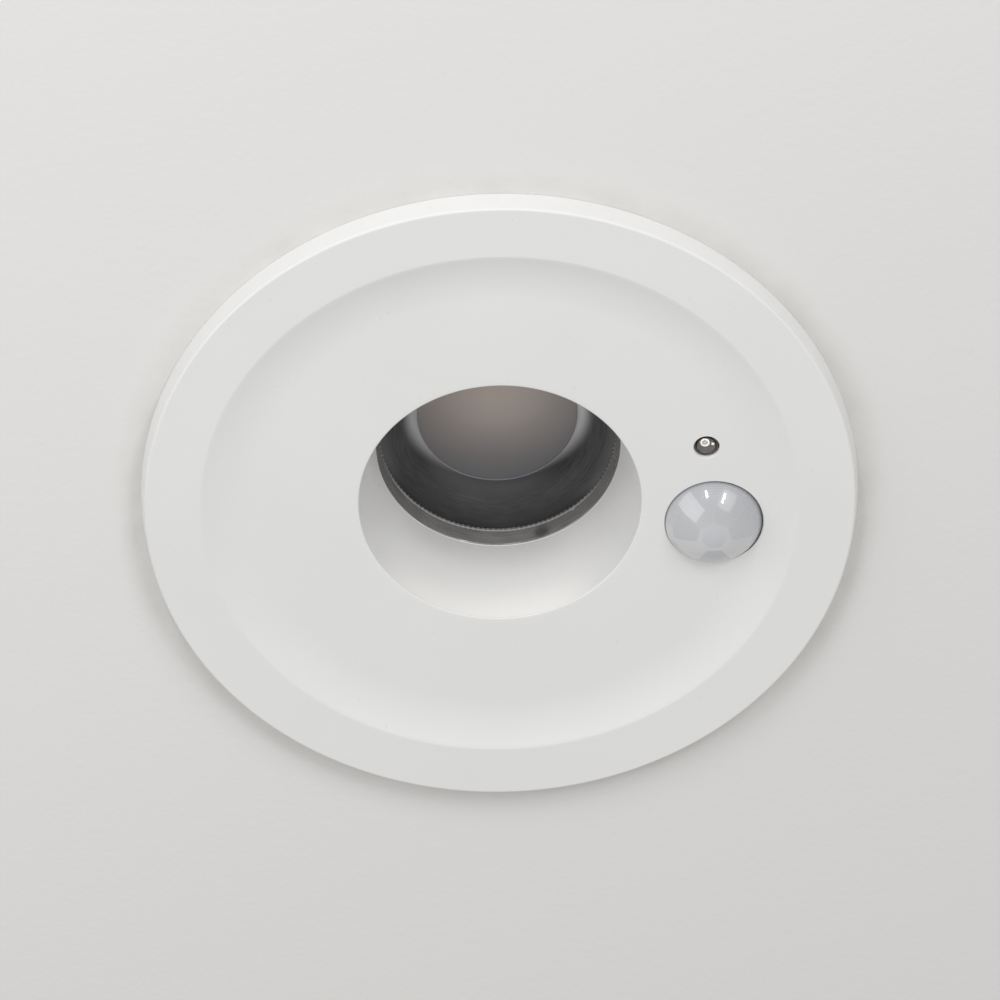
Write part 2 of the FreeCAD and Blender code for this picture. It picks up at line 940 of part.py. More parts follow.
def clip_bracket():
    face = sink_flat + bracket_thickness
    back = block(-bracket_half_width, bracket_half_width, sink_flat, face,
                 bracket_low_z, bracket_high_z)
    ears = []
    for x in (-bracket_half_width, bracket_half_width - bracket_thickness):
        ears.append(sheet([
            (sink_flat, bracket_ear_low_z),
            (bracket_ear_y, bracket_ear_low_z, bracket_ear_fillet),
            (bracket_ear_y, bracket_ear_high_z, bracket_ear_fillet),
            (sink_flat, bracket_ear_high_z),
        ], x, x + bracket_thickness))
    x = spring_leg_x((tab_low + tab_high) / 2)
    inner = spring_wire_radius + tab_gap
    top = clip_pivot_y - spring_coil_radius + spring_wire_radius + tab_gap / 2
    bridge = block(x - inner - tab_side, x + inner + tab_side, sink_flat, top + tab_thickness,
                   tab_low, tab_high)
    opening = block(x - inner, x + inner, face, top, tab_low - cut_overrun,
                    tab_high + cut_overrun)
    cuts = [rod_x(clip_pin_radius + fit_gap, -far, far, clip_pivot_y, clip_pivot_z)]
    for z in (bracket_screw_low_z, sink_low + sink_base / 2):
        cuts.append(rod_y(m25_shank_radius + fit_gap, sink_flat - cut_overrun,
                          face + cut_overrun, 0, z))
    return joined([back, bridge.cut(opening)] + ears).cut(cuts)


def clip_pin():
    reach = bracket_half_width + fit_gap
    shaft = rod_x(clip_pin_radius, -reach, reach, clip_pivot_y, clip_pivot_z)
    heads = [
        rod_x(clip_pin_head_radius, x, x + clip_pin_head, clip_pivot_y, clip_pivot_z)
        for x in (reach, -reach - clip_pin_head)
    ]
    return joined([shaft] + heads)


def clip_bracket_screws():
    face = sink_flat + bracket_thickness
    length = bracket_screw_length + bracket_thickness
    return [
        screw(m25_shank_radius, length, m25_head_radius, m25_head_height,
              at(0, side * face, z), at(0, -side, 0))
        for side in (1, -1)
        for z in (bracket_screw_low_z, sink_low + sink_base / 2)
    ]


# Folded from one strip: a web that starts past the coil, and two ears on the pin. Each
# ear has a heel that meets the bracket when the arm is down.
def clip_arm():
    web = block(-arm_half_width, arm_half_width, arm_web_start, arm_length,
                -arm_thickness, 0)
    parts = [swung(web)]
    heel_y = clip_pivot_y - sink_flat - bracket_thickness - arm_heel_gap
    for x in (-arm_half_width, arm_half_width - arm_thickness):
        cheek = sheet([
            (0, -arm_ear_radius),
            (arm_web_start, -arm_ear_radius),
            (arm_ear_length, -arm_thickness),
            (arm_ear_length, 0),
            (0, arm_ear_radius),
        ], x, x + arm_thickness)
        parts.append(swung(cheek))
        parts.append(rod_x(arm_ear_radius, x, x + arm_thickness, clip_pivot_y, clip_pivot_z))
        parts.append(block(x, x + arm_thickness, clip_pivot_y - heel_y, clip_pivot_y,
                           clip_pivot_z - arm_heel_depth, clip_pivot_z))
    hole = rod_x(clip_pin_radius + fit_gap, -far, far, clip_pivot_y, clip_pivot_z)
    return joined(parts).cut(hole)


def clip_pad():
    sides = arm_half_width + pad_side
    body = block(-sides, sides, pad_start, arm_length + pad_wall,
                 -arm_thickness - pad_foot, pad_top)
    corners = [edge for edge in body.Edges if abs(edge.tangentAt(edge.FirstParameter).y) < 0.5]
    outer = [edge for edge in corners if edge.CenterOfMass.y > arm_length]
    body = body.makeFillet(pad_side, outer)
    slot = block(-arm_half_width, arm_half_width, pad_start - cut_overrun, arm_length,
                 -arm_thickness, 0)
    return swung(body.cut(slot))


# Torsion spring
# The wire climbs the bracket, winds about the pin and runs out along the arm. Its turns
# are biarcs, each a quarter of a turn.
def spring_point(turn):
    angle = math.pi - turn * 2 * math.pi
    x = spring_spacing * (turn - spring_sweep() / 2)
    y = clip_pivot_y + spring_coil_radius * math.cos(angle)
    z = clip_pivot_z + spring_coil_radius * math.sin(angle)
    return at(x, y, z)


def spring_direction(turn):
    angle = math.pi - turn * 2 * math.pi
    around = spring_coil_radius * 2 * math.pi
    return at(spring_spacing, around * math.sin(angle), -around * math.cos(angle)).normalize()


# The turns between the two legs: whole turns, and the part that points the last leg at
# the place where it presses on the arm.
def spring_sweep():
    contact = spring_wire_radius + spring_seat_gap
    reach = math.hypot(spring_arm_reach, contact)
    dip = math.asin(spring_coil_radius / reach) - math.atan2(contact, spring_arm_reach)
    leave = 90 - clip_rest_angle - math.degrees(dip)
    return spring_turns + (180 - leave) / 360


def spring_leg_x(z):
    drop = (clip_pivot_z - z) / (spring_coil_radius * 2 * math.pi)
    return spring_point(0).x - drop * spring_spacing


def tangent_arc(start, direction, end):
    chord = end - start
    along = chord * (direction.dot(chord) / chord.dot(chord))
    bulge = (direction - along).normalize()
    half = direction.getAngle(chord) / 2
    middle = (start + end) / 2 + bulge * (chord.Length / 2 * math.tan(half))
    return Part.Arc(start, middle, end).toShape()


def biarc(start, first, end, last):
    chord = end - start
    both = first + last
    slant = 2 * (1 - first.dot(last))
    ahead = chord.dot(both)
    reach = (math.sqrt(ahead ** 2 + slant * chord.dot(chord)) - ahead) / slant
    meeting = (start + first * reach + end - last * reach) / 2
    tangent = (end - last * reach - start - first * reach).normalize()
    return [tangent_arc(start, first, meeting), tangent_arc(meeting, tangent, end)]


def clip_spring():
    sweep = spring_sweep()
    steps = math.ceil(sweep * 4)
    turns = [sweep * index / steps for index in range(steps + 1)]
    start = spring_point(0)
    end = spring_point(sweep)
    tail = start - spring_direction(0) * spring_body_leg
    tip = end + spring_direction(sweep) * spring_arm_reach
    edges = [Part.LineSegment(tail, start).toShape()]
    for low, high in zip(turns, turns[1:]):
        edges += biarc(spring_point(low), spring_direction(low),
                       spring_point(high), spring_direction(high))
    edges.append(Part.LineSegment(end, tip).toShape())
    path = Part.Wire(edges)
    ring = Part.Wire(Part.makeCircle(spring_wire_radius, tail, start - tail))
    return path.makePipeShell([ring], True, False)


# The least gap between one turn and the next, from points along the coil.
def spring_gap():
    samples = 24
    whole = int(samples * spring_turns)
    points = [spring_point(index / samples) for index in range(whole)]
    least = far
    for index, point in enumerate(points):
        for other in points[index + samples // 2:]:
            least = min(least, point.distanceToPoint(other))
    return least - spring_wire_radius * 2


# Driver case
def driver_case():
    walls = case_outline(0, case_low, case_top)
    walls = walls.cut(case_outline(case_wall, case_inside, case_top + cut_overrun))
    inside = case_outline(case_wall, case_inside, case_top)
    partition = block(partition_x, partition_x + partition_thickness, -far, far,
                      case_inside, case_top).common(inside)
    bosses = [
        cylinder(driver_boss_radius, case_inside, driver_low, x, y)
        for x, y in driver_boss_places
    ]
    boss_low = case_top - cover_screw_length - cover_rim
    for x, y in cover_screw_places:
        boss = cylinder(cover_boss_radius, boss_low, case_top, x, y)
        web = block(min(x, x * 2), max(x, x * 2), y - cover_rim, y + cover_rim,
                    boss_low, case_top).common(inside)
        bosses += [boss, web]
    body = joined([walls, partition] + bosses)
    cuts = []
    for x, y in case_screw_places:
        cuts.append(cylinder(m3_shank_radius + fit_gap, case_low - cut_overrun,
                             case_inside + cut_overrun, x, y))
        cuts.append(cylinder(m3_head_radius + free_gap, case_inside,
                             case_inside + m3_head_height + free_gap, x, y))
    for x, y in driver_boss_places:
        cuts.append(cylinder(m25_shank_radius + fit_gap, case_inside,
                             driver_low + cut_overrun, x, y))
    for x, y in cover_screw_places:
        cuts.append(cylinder(m25_shank_radius + fit_gap, boss_low + cover_rim / 2,
                             case_top + cut_overrun, x, y))
    slot_low = driver_top + wire_slot_lift
    cuts.append(block(partition_x - cut_overrun, partition_x + partition_thickness + cut_overrun,
                      wire_slot_y - wire_slot_width / 2, wire_slot_y + wire_slot_width / 2,
                      slot_low, case_top + cut_overrun))
    for side in (1, -1):
        cuts.append(rod_x(grommet_neck_radius, case_half_length - case_wall - cut_overrun,
                          case_half_length + cut_overrun, side * grommet_y, grommet_z))
    cuts.append(cylinder(led_hole_radius, case_low - cut_overrun, case_inside + cut_overrun,
                         -led_lead_rise, 0))
    cuts.append(cylinder(sensor_hole_radius, case_low - cut_overrun,
                         case_inside + cut_overrun, sensor_lead_x, fin_spacing))
    return body.cut(cuts)


def driver_cover():
    body = case_outline(0, case_top, cover_top)
    rim_low = case_top - cover_rim_depth
    rim = case_outline(case_wall + free_gap, rim_low, case_top)
    rim = rim.cut(case_outline(case_wall + free_gap + cover_rim, rim_low, case_top))
    notch_x = lid_hinge_x + lid_barrel_radius + lid_edge_gap - free_gap
    rim = rim.common(block(-far, partition_x - free_gap, -far, far, rim_low, case_top))
    for x, y in cover_screw_places:
        keep = cover_boss_radius + free_gap
        rim = rim.cut(cylinder(keep, rim_low, case_top, x, y))
        rim = rim.cut(block(min(x, x * 2), max(x, x * 2), y - keep, y + keep,
                            rim_low, case_top))
    lugs = []
    low_y = lid_barrel_half_length + lid_lug_gap
    for y in (low_y, -low_y - lid_lug_width):
        lugs.append(rod_y(lid_barrel_radius, y, y + lid_lug_width, lid_hinge_x, lid_hinge_z))
        lugs.append(block(lid_hinge_x - lid_barrel_radius, lid_hinge_x + lid_barrel_radius,
                          y, y + lid_lug_width, case_top, lid_hinge_z))
    body = joined([body, rim] + lugs)
    half = lid_half_width + lid_edge_gap
    cuts = [block(notch_x, far, -half, half, case_top - cut_overrun, cover_top + cut_overrun)]
    back_x = lid_hinge_x - lid_barrel_radius - free_gap
    cuts.append(block(back_x, far, -low_y, low_y, case_top - cut_overrun,
                      cover_top + cut_overrun))
    cuts.append(rod_y(lid_pin_radius + fit_gap / 2, -far, far, lid_hinge_x, lid_hinge_z))
    for x, y in cover_screw_places:
        cuts.append(cylinder(m25_shank_radius + fit_gap, case_top - cut_overrun,
                             cover_top + cut_overrun, x, y))
    for x, y in dial_places.values():
        cuts.append(cylinder(dial_stem_radius + free_gap, case_top - cut_overrun,
                             cover_top, x, y))
        cuts.append(cylinder(dial_radius + free_gap, cover_top - dial_recess,
                             cover_top + cut_overrun, x, y))
    return body.cut(cuts)


def driver_screws():
    return [
        screw(m3_shank_radius, case_screw_length, m3_head_radius, m3_head_height,
              at(x, y, case_inside), at(0, 0, -1))
        for x, y in case_screw_places
    ]


def cover_screws():
    return [
        screw(m25_shank_radius, cover_screw_length, m25_head_radius, m25_head_height,
              at(x, y, cover_top), at(0, 0, -1))
        for x, y in cover_screw_places
    ]


# Driver board
def driver_board():
    half = driver_board_half_width
    body = block(driver_board_low_x, driver_board_high_x, -half, half, driver_low, driver_top)
    body = body.common(cylinder(driver_board_radius, driver_low, driver_top))
    cuts = [
        cylinder(m25_shank_radius + fit_gap, driver_low - cut_overrun,
                 driver_top + cut_overrun, x, y)
        for x, y in driver_boss_places
    ]
    return body.cut(cuts)


def driver_board_screws():
    return [
        screw(m25_shank_radius, driver_board_screw_length, m25_head_radius,
              m25_head_height, at(x, y, driver_top), at(0, 0, -1))
        for x, y in driver_boss_places
    ]


def transformer_window(low, high):
    reach = core_length / 2 - core_yoke
    cuts = []
    for side in (1, -1):
        near = transformer_y + side * core_leg / 2
        edge = transformer_y + side * reach
        cuts.append(block(transformer_x - core_depth, transformer_x + core_depth,
                          min(near, edge), max(near, edge), low, high))
    return cuts


def transformer_core():
    top = driver_top + core_height
    body = centred(core_depth, core_length, driver_top, top, transformer_x, transformer_y)
    return body.cut(transformer_window(driver_top + core_yoke, top - core_yoke))


def transformer_coil():
    low = driver_top + core_yoke + fit_gap
    high = driver_top + core_height - core_yoke - fit_gap
    outer = centred(core_depth + coil_wall * 2, core_leg + coil_wall * 2, low, high,
                    transformer_x, transformer_y)
    hole = centred(core_depth + fit_gap * 2, core_leg + fit_gap * 2, low - cut_overrun,
                   high + cut_overrun, transformer_x, transformer_y)
    return outer.cut(hole)


def bulk_capacitors():
    x, y = board_place(capacitor_place_share)
    return [
        cylinder(capacitor_radius, driver_top, driver_top + capacitor_height,
                 x, side * y)
        for side in (1, -1)
    ]


def x_capacitor():
    return centred(x_capacitor_length, x_capacitor_width, driver_top,
                   driver_top + x_capacitor_height, *board_place(x_capacitor_place_share))


def line_inductor():
    top = driver_top + inductor_height
    place = board_place(inductor_place_share)
    return joined([
        cylinder(inductor_radius, driver_top, driver_top + inductor_flange, *place),
        cylinder(inductor_wind_radius, driver_top, top, *place),
        cylinder(inductor_radius, top - inductor_flange, top, *place),
    ])


def fuse():
    z = driver_top + fuse_radius
    barrel = rod_y(fuse_radius, fuse_y - fuse_length / 2, fuse_y + fuse_length / 2, fuse_x, z)
    foot = centred(fuse_radius, fuse_length, driver_top, z, fuse_x, fuse_y)
    return joined([barrel, foot])


def varistor():
    z = driver_top + varistor_radius
    x0 = varistor_x - varistor_thickness / 2
    x1 = varistor_x + varistor_thickness / 2
    disc = rod_x(varistor_radius, x0, x1, varistor_y, z)
    foot = block(x0, x1, varistor_y - varistor_radius / 2, varistor_y + varistor_radius / 2,
                 driver_top, z)
    return joined([disc, foot])


def driver_board_parts():
    return [
        centred(power_chip_length, power_chip_width, driver_top,
                driver_top + power_chip_height, *board_place(share))
        for share in power_chip_places_share
    ]


# Setting dials
def pot_top():
    return driver_top + pot_height


def dial_potentiometers():
    bodies = []
    for x, y in dial_places.values():
        body = centred(pot_side, pot_side, driver_top, pot_top(), x, y)
        low = pot_top() - dial_tip_length - free_gap
        bodies.append(body.cut(cylinder(dial_tip_radius + fit_gap, low,
                                        pot_top() + cut_overrun, x, y)))
    return bodies


def dial(place):
    low = cover_top - dial_recess + free_gap
    high = low + dial_height
    stem_low = pot_top() + free_gap
    body = joined([
        cylinder(dial_radius, low, high, *place),
        cylinder(dial_stem_radius, stem_low, low, *place),
        cylinder(dial_tip_radius, pot_top() - dial_tip_length, stem_low, *place),
    ])
    slot = centred(dial_slot_width, dial_radius * 2 - dial_slot_width * 2,
                   high - dial_slot_depth, high + cut_overrun, *place)
    pointer = cylinder(dial_pointer_radius, high - dial_slot_depth, high + cut_overrun,
                       place[0], place[1] + dial_radius)
    return body.cut([slot, pointer])


# Terminals
def terminal_cavity(y):
    x = terminal_x + terminal_length / 2
    low = case_inside + terminal_clamp_lift
    return centred(terminal_clamp_length + fit_gap * 2, terminal_clamp_width + fit_gap * 2,
                   low - fit_gap, low + terminal_clamp_height + fit_gap, x, y)


def wire_hole_z():
    return case_inside + terminal_clamp_lift + terminal_clamp_height / 2


def terminal_screw_places():
    x = terminal_x + terminal_length / 2
    return [(x + side * terminal_screw_offset, y) for y in terminal_rows for side in (1, -1)]


def terminal_block():
    half = terminal_count * terminal_spacing / 2 + terminal_end_wall
    body = block(terminal_x, terminal_x + terminal_length, -half, half,
                 case_inside, terminal_top)
    cuts = [terminal_cavity(y) for y in terminal_rows]
    for y in terminal_rows:
        cuts.append(rod_x(wire_hole_radius, terminal_x - cut_overrun,
                          terminal_x + terminal_length + cut_overrun, y, wire_hole_z()))
    for x, y in terminal_screw_places():
        cuts.append(cylinder(terminal_screw_head_radius + fit_gap * 2,
                             case_inside + terminal_clamp_lift + terminal_clamp_height,
                             terminal_top + cut_overrun, x, y))
    return body.cut(cuts)


def terminal_clamps():
    clamps = []
    x = terminal_x + terminal_length / 2
    low = case_inside + terminal_clamp_lift
    high = low + terminal_clamp_height
    for y in terminal_rows:
        body = centred(terminal_clamp_length, terminal_clamp_width, low, high, x, y)
        cuts = [rod_x(wire_hole_radius, terminal_x, terminal_x + terminal_length, y,
                      wire_hole_z())]
        cuts += [
            cylinder(terminal_screw_radius + fit_gap, wire_hole_z(), high + cut_overrun,
                     sx, sy)
            for sx, sy in terminal_screw_places() if sy == y
        ]
        clamps.append(body.cut(cuts))
    return clamps


def terminal_screws():
    seat = case_inside + terminal_clamp_lift + terminal_clamp_height + fit_gap
    head = terminal_top - terminal_screw_sink - seat
    length = seat - wire_hole_z() - wire_hole_radius
    return [
        screw(terminal_screw_radius, length, terminal_screw_head_radius, head,
              at(x, y, seat), at(0, 0, -1))
        for x, y in terminal_screw_places()
    ]


def cable_grommets():
    inner = case_half_length - case_wall
    grommets = []
    for side in (1, -1):
        y = side * grommet_y
        body = joined([
            rod_x(grommet_flange_radius, inner - grommet_flange, inner, y, grommet_z),
            rod_x(grommet_neck_radius, inner, case_half_length, y, grommet_z),
            rod_x(grommet_flange_radius, case_half_length,
                  case_half_length + grommet_flange, y, grommet_z),
        ])
        grommets.append(body.cut(rod_x(grommet_bore_radius, -far, far, y, grommet_z)))
    return grommets


# Terminal lid
def terminal_lid():
    high = cover_top
    low = high - lid_thickness
    start = lid_hinge_x + lid_barrel_radius + lid_edge_gap
    end = case_half_length + lid_lip
    half = lid_barrel_half_length
    leaf = block(start, end, -lid_half_width, lid_half_width, low, high)
    tongue = block(lid_hinge_x, start, -half, half, low, high)
    barrel = rod_y(lid_barrel_radius, -half, half, lid_hinge_x, lid_hinge_z)
    grip = centred(lid_grip_depth, lid_grip_width, high, high + lid_grip_height,
                   end - lid_grip_depth, 0)
    bore = rod_y(lid_pin_radius + fit_gap, -far, far, lid_hinge_x, lid_hinge_z)
    return joined([leaf, tongue, barrel, grip]).cut(bore)


def lid_pin():
    reach = lid_barrel_half_length + lid_lug_gap + lid_lug_width
    return rod_y(lid_pin_radius, -reach, reach, lid_hinge_x, lid_hinge_z)


os.makedirs("parts", exist_ok=True)

pieces = [
    bezel, ceiling_gasket, pir_lens, pir_detector, pir_window, light_sensor,
    light_sensor_sleeve, sensor_tray, sensor_board, sensor_board_parts, sensor_socket,
    sensor_board_screws, sensor_lead, lens_ring, reflector, diffuser, led_spacer,
    led_emitter, led_board, led_board_screws, thermal_pad, led_leads, heat_sink,
    body_seal, bezel_screws, clip_bracket_screws, driver_case, driver_cover,
    driver_screws, cover_screws, driver_board, driver_board_screws, transformer_core,
    transformer_coil, bulk_capacitors, x_capacitor, line_inductor, fuse, varistor,
    driver_board_parts, dial_potentiometers, terminal_block, terminal_clamps,
    terminal_screws, cable_grommets, terminal_lid, lid_pin,
]
for piece in pieces:
    save(piece.__name__, piece())
save("light_sensor_leads", light_sensor_metal())
for piece in (clip_bracket, clip_pin, clip_spring, clip_arm, clip_pad):
    right = piece()
    save("right_" + piece.__name__, right)
    save("left_" + piece.__name__, other_side(right))
for name, place in dial_places.items():
    save(name, dial(place))
print("least gap between the spring's turns", round(spring_gap(), 3))
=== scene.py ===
import bpy
import math
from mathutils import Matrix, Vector


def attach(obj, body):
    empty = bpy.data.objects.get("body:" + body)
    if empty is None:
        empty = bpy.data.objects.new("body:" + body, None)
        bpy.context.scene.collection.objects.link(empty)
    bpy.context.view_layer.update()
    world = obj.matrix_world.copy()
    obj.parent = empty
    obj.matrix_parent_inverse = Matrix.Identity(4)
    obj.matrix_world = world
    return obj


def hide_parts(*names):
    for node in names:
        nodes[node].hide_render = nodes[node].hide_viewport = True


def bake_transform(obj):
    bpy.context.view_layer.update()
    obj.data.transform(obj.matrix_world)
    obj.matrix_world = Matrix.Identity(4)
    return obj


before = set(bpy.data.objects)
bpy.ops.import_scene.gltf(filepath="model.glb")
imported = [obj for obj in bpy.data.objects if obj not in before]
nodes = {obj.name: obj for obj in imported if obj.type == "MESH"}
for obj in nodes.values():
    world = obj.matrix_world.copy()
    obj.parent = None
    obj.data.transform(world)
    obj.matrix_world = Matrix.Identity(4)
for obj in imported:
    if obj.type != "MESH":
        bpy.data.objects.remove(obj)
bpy.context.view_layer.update()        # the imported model, with every CAD node at the origin
mm = 0.001
weld = 0.002 * mm        # points nearer than this become one
print("frame loaded:", len(nodes), "nodes")


# Small helpers for working in object and edit mode

def objectMode():
    bpy.ops.object.mode_set(mode="OBJECT")


def editMode():
    bpy.ops.object.mode_set(mode="EDIT")


def clearSelection():
    if bpy.context.mode != "OBJECT":
        objectMode()
    bpy.ops.object.select_all(action="DESELECT")


# What an operator has just made, under its own name
def made(name):
    piece = bpy.context.object
    piece.name = name
    return piece


def pick(piece, others=()):
    clearSelection()
    for each in (*others, piece):
        each.select_set(True)
    bpy.context.view_layer.objects.active = piece


def editAll(piece):
    pick(piece)
    editMode()
    bpy.ops.mesh.select_all(action="SELECT")


# Deselects all of a piece, ready for marking single points or edges
def unmarked(piece, kind):
    pick(piece)
    editMode()
    bpy.ops.mesh.select_mode(type=kind)
    bpy.ops.mesh.select_all(action="DESELECT")
    objectMode()


def editEdges(piece, test):
    unmarked(piece, "EDGE")
    points = piece.data.vertices
    for edge in piece.data.edges:
        edge.select = test(*(points[index].co / mm for index in edge.vertices))
    editMode()


def cleaned(piece):
    editAll(piece)
    bpy.ops.mesh.remove_doubles(threshold=weld)
    bpy.ops.mesh.normals_make_consistent(inside=False)
    objectMode()
    return piece


def smoothed(piece, angle=32):
    pick(piece)
    bpy.ops.object.shade_smooth_by_angle(angle=math.radians(angle))
    return piece


def applied(piece, kind, **values):
    pick(piece)
    modifier = piece.modifiers.new(kind.lower(), kind)
    for key, value in values.items():
        setattr(modifier, key, value)
    bpy.ops.object.modifier_apply(modifier=modifier.name)
    return piece


def cutBy(piece, tool):
    applied(piece, "BOOLEAN", object=tool, operation="DIFFERENCE", solver="EXACT")
    bpy.data.objects.remove(tool)


def joinedTo(piece, others):
    pick(piece, others)
    bpy.ops.object.join()
    return piece


# Turns what is selected in edit mode about the model's axis
def turnSelected(turn):
    bpy.ops.transform.rotate(value=-turn, orient_axis="Z", center_override=(0, 0, 0))


def moveSelected(step):
    bpy.ops.transform.translate(value=Vector(step) * mm)


def duplicated(piece, name):
    pick(piece)
    bpy.ops.object.duplicate()
    return made(name)


def copied(piece, name, place=(0, 0, 0), turn=0.0):
    twin = duplicated(piece, name)
    editAll(twin)
    if turn:
        turnSelected(turn)
    moveSelected(place)
    objectMode()
    return twin


# A line of points drawn with extrude, from one vertex: (radius, height) in mm
def drawnLine(name, points, place=(0, 0)):
    clearSelection()
    bpy.ops.mesh.primitive_plane_add(size=mm)
    line = made(name)
    editMode()
    bpy.ops.mesh.select_mode(type="VERT")
    bpy.ops.mesh.select_all(action="SELECT")
    bpy.ops.mesh.merge(type="CENTER")
    moveSelected((place[0] + points[0][0], place[1], points[0][1]))
    for before, after in zip(points, points[1:]):
        step = Vector((after[0] - before[0], 0, after[1] - before[1])) * mm
        bpy.ops.mesh.extrude_region_move(TRANSFORM_OT_translate={"value": step})
    return line


# A section that starts on the axis also ends there, and any other one is closed
def turnedPiece(name, points, place=(0, 0), steps=128, angle=32):
    onAxis = points[0][0] * mm < weld
    line = drawnLine(name, points if onAxis else points + points[:1], place)
    bpy.ops.mesh.select_all(action="SELECT")
    bpy.ops.mesh.spin(steps=steps, angle=2 * math.pi,
                      center=(place[0] * mm, place[1] * mm, 0), axis=(0, 0, 1))
    cleaned(line)
    return smoothed(line, angle)


# Points of an arc for such a line, from one angle to another in degrees
def arc(centre, radius, start, end, steps):
    turns = [math.radians(start + (end - start) * index / steps) for index in range(steps + 1)]
    return [(centre[0] + radius * math.cos(turn), centre[1] + radius * math.sin(turn))
            for turn in turns]


# Points that round such a line's corner
def roundCorner(before, corner, after, radius, steps=5):
    back = (Vector(before) - Vector(corner)).normalized()
    ahead = (Vector(after) - Vector(corner)).normalized()
    half = back.angle(ahead) / 2
    reach = radius / math.tan(half)
    middle = Vector(corner) + (back + ahead).normalized() * (radius / math.sin(half))
    first = Vector(corner) + back * reach - middle
    last = Vector(corner) + ahead * reach - middle
    return [tuple(middle + first.slerp(last, index / steps) * radius) for index in range(steps + 1)]


def boxPiece(name, low, high, soft):
    clearSelection()
    bpy.ops.mesh.primitive_cube_add(size=1)
    piece = made(name)
    editAll(piece)
    bpy.ops.transform.resize(value=(Vector(high) - Vector(low)) * mm)
    moveSelected((Vector(high) + Vector(low)) / 2)
    bpy.ops.mesh.bevel(offset=soft * mm, segments=2, affect="EDGES")
    objectMode()
    return piece


# A finished piece: its finish, its slot, what it replaces, and the body that it rides on; the slot
# is not used
def finished(piece, look, slot, *replaced, body="housing"):
    piece.data.materials.clear()
    piece.data.materials.append(finish[look])
    if body:
        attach(piece, body)
    if replaced:
        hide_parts(*replaced)
    return piece


# Camera

view = {"azimuth": -8.7, "elevation": -55.15, "distance": 1.190, "roll": -1.8, "lift": -0.62,
        "lens": 279.3, "sensor": 36, "nearest": 0.01}


def addCamera():
    turn, rise = math.radians(view["azimuth"]), math.radians(view["elevation"])
    back = Vector((math.sin(turn) * math.cos(rise), -math.cos(turn) * math.cos(rise),
                   math.sin(rise)))
    facing = back.to_track_quat("Z", "Y")
    lift = facing @ Vector((0, view["lift"] * mm, 0))
    bpy.ops.object.camera_add(location=back * view["distance"] + lift)
    camera = made("photoCamera")
    camera.rotation_euler = facing.to_euler()
    camera.rotation_euler.rotate_axis("Z", math.radians(view["roll"]))
    camera.data.lens = view["lens"]
    camera.data.sensor_width = view["sensor"]
    camera.data.clip_start = view["nearest"]
    camera.data.dof.use_dof = False
    bpy.context.scene.camera = camera


clearSelection()
addCamera()
print("camera placed")


# Small helpers for shader nodes: a node takes its settings, and its inputs as numbers or
# as sockets to link

def isSocket(value):
    return isinstance(value, bpy.types.NodeSocket)


def addNode(kind, values, tree=None):
    tree = tree or next(value for value in values.values() if isSocket(value)).id_data
    node = tree.nodes.new("ShaderNode" + kind)
    for key, value in values.items():
        if isSocket(value):
            tree.links.new(value, node.inputs[key])
        elif isinstance(key, int) or key in node.inputs:
            node.inputs[key].default_value = value
        else:
            setattr(node, key, value)
    return node


# Sums on sockets and numbers
def maths(operation, *values):
    return addNode("Math", {"operation": operation, **dict(enumerate(values))}).outputs[0]


def times(first, *others):
    for other in others:
        first = maths("MULTIPLY", first, other)
    return first


def plus(first, second):
    return maths("ADD", first, second)


def minus(first, second):
    return maths("SUBTRACT", first, second)


def above(value, limit):
    return maths("GREATER_THAN", value, limit)


def below(value, limit):
    return maths("LESS_THAN", value, limit)


def distance(x, y):
    return maths("SQRT", plus(times(x, x), times(y, y)))


# Goes from start to end while the value goes from low to high
def ramp(value, low, high, start=0.0, end=1.0, kind="LINEAR"):
    return addNode("MapRange", {"interpolation_type": kind, "Value": value, "From Min": low,
                                "From Max": high, "To Min": start, "To Max": end}).outputs[0]


def smoothRamp(value, low, high, end=1.0):
    return ramp(value, low, high, 0.0, end, "SMOOTHSTEP")


def noise(place, scale, detail, rough=0.5):
    return addNode("TexNoise", {"Vector": place, "Scale": scale, "Detail": detail,
                                "Roughness": rough}).outputs[0]


def mixColour(share, first, second):
    first, second = (colour if isSocket(colour) else (*colour, 1.0) for colour in (first, second))
    return addNode("Mix", {"data_type": "RGBA", 0: share, 6: first, 7: second}).outputs[2]


# Where a point lies, in metres
def placeIn(tree):
    return addNode("TexCoord", {}, tree).outputs["Object"]


# Its x, y and z in mm
def axesOf(place):
    scaled = addNode("VectorMath", {"operation": "SCALE", "Scale": 1 / mm, 0: place})
    return addNode("SeparateXYZ", {0: scaled.outputs[0]}).outputs


# Helpers for a whole material

def newMaterial(name):
    material = bpy.data.materials.new(name)
    material.use_nodes = True
    return material


def surfaceOf(material):
    return material.node_tree.nodes["Principled BSDF"]


def feed(material, label, socket):
    material.node_tree.links.new(socket, surfaceOf(material).inputs[label])


# Lays a colour over what the material has, by a share from 0 to 1
def repaint(material, share, colour):
    before = surfaceOf(material).inputs["Base Color"].links[0].from_socket
    feed(material, "Base Color", mixColour(share, before, colour))


def addBump(material, height, depth, **more):
    bump = addNode("Bump", {"Strength": 1.0, "Distance": depth * mm, "Height": height, **more})
    feed(material, "Normal", bump.outputs[0])


# Shared shader groups

def newGroup(name, inputs, outputs):
    group = bpy.data.node_groups.new(name, "ShaderNodeTree")
    for label, value in inputs.items():
        socket = group.interface.new_socket(label, in_out="INPUT", socket_type="NodeSocketFloat")
        socket.default_value = value
    for label, kind in outputs.items():
        group.interface.new_socket(label, in_out="OUTPUT", socket_type="NodeSocket" + kind)
    return group, group.nodes.new("NodeGroupInput").outputs


def endGroup(group, results):
    end = group.nodes.new("NodeGroupOutput")
    for label, socket in results.items():
        group.links.new(socket, end.inputs[label])
    return group


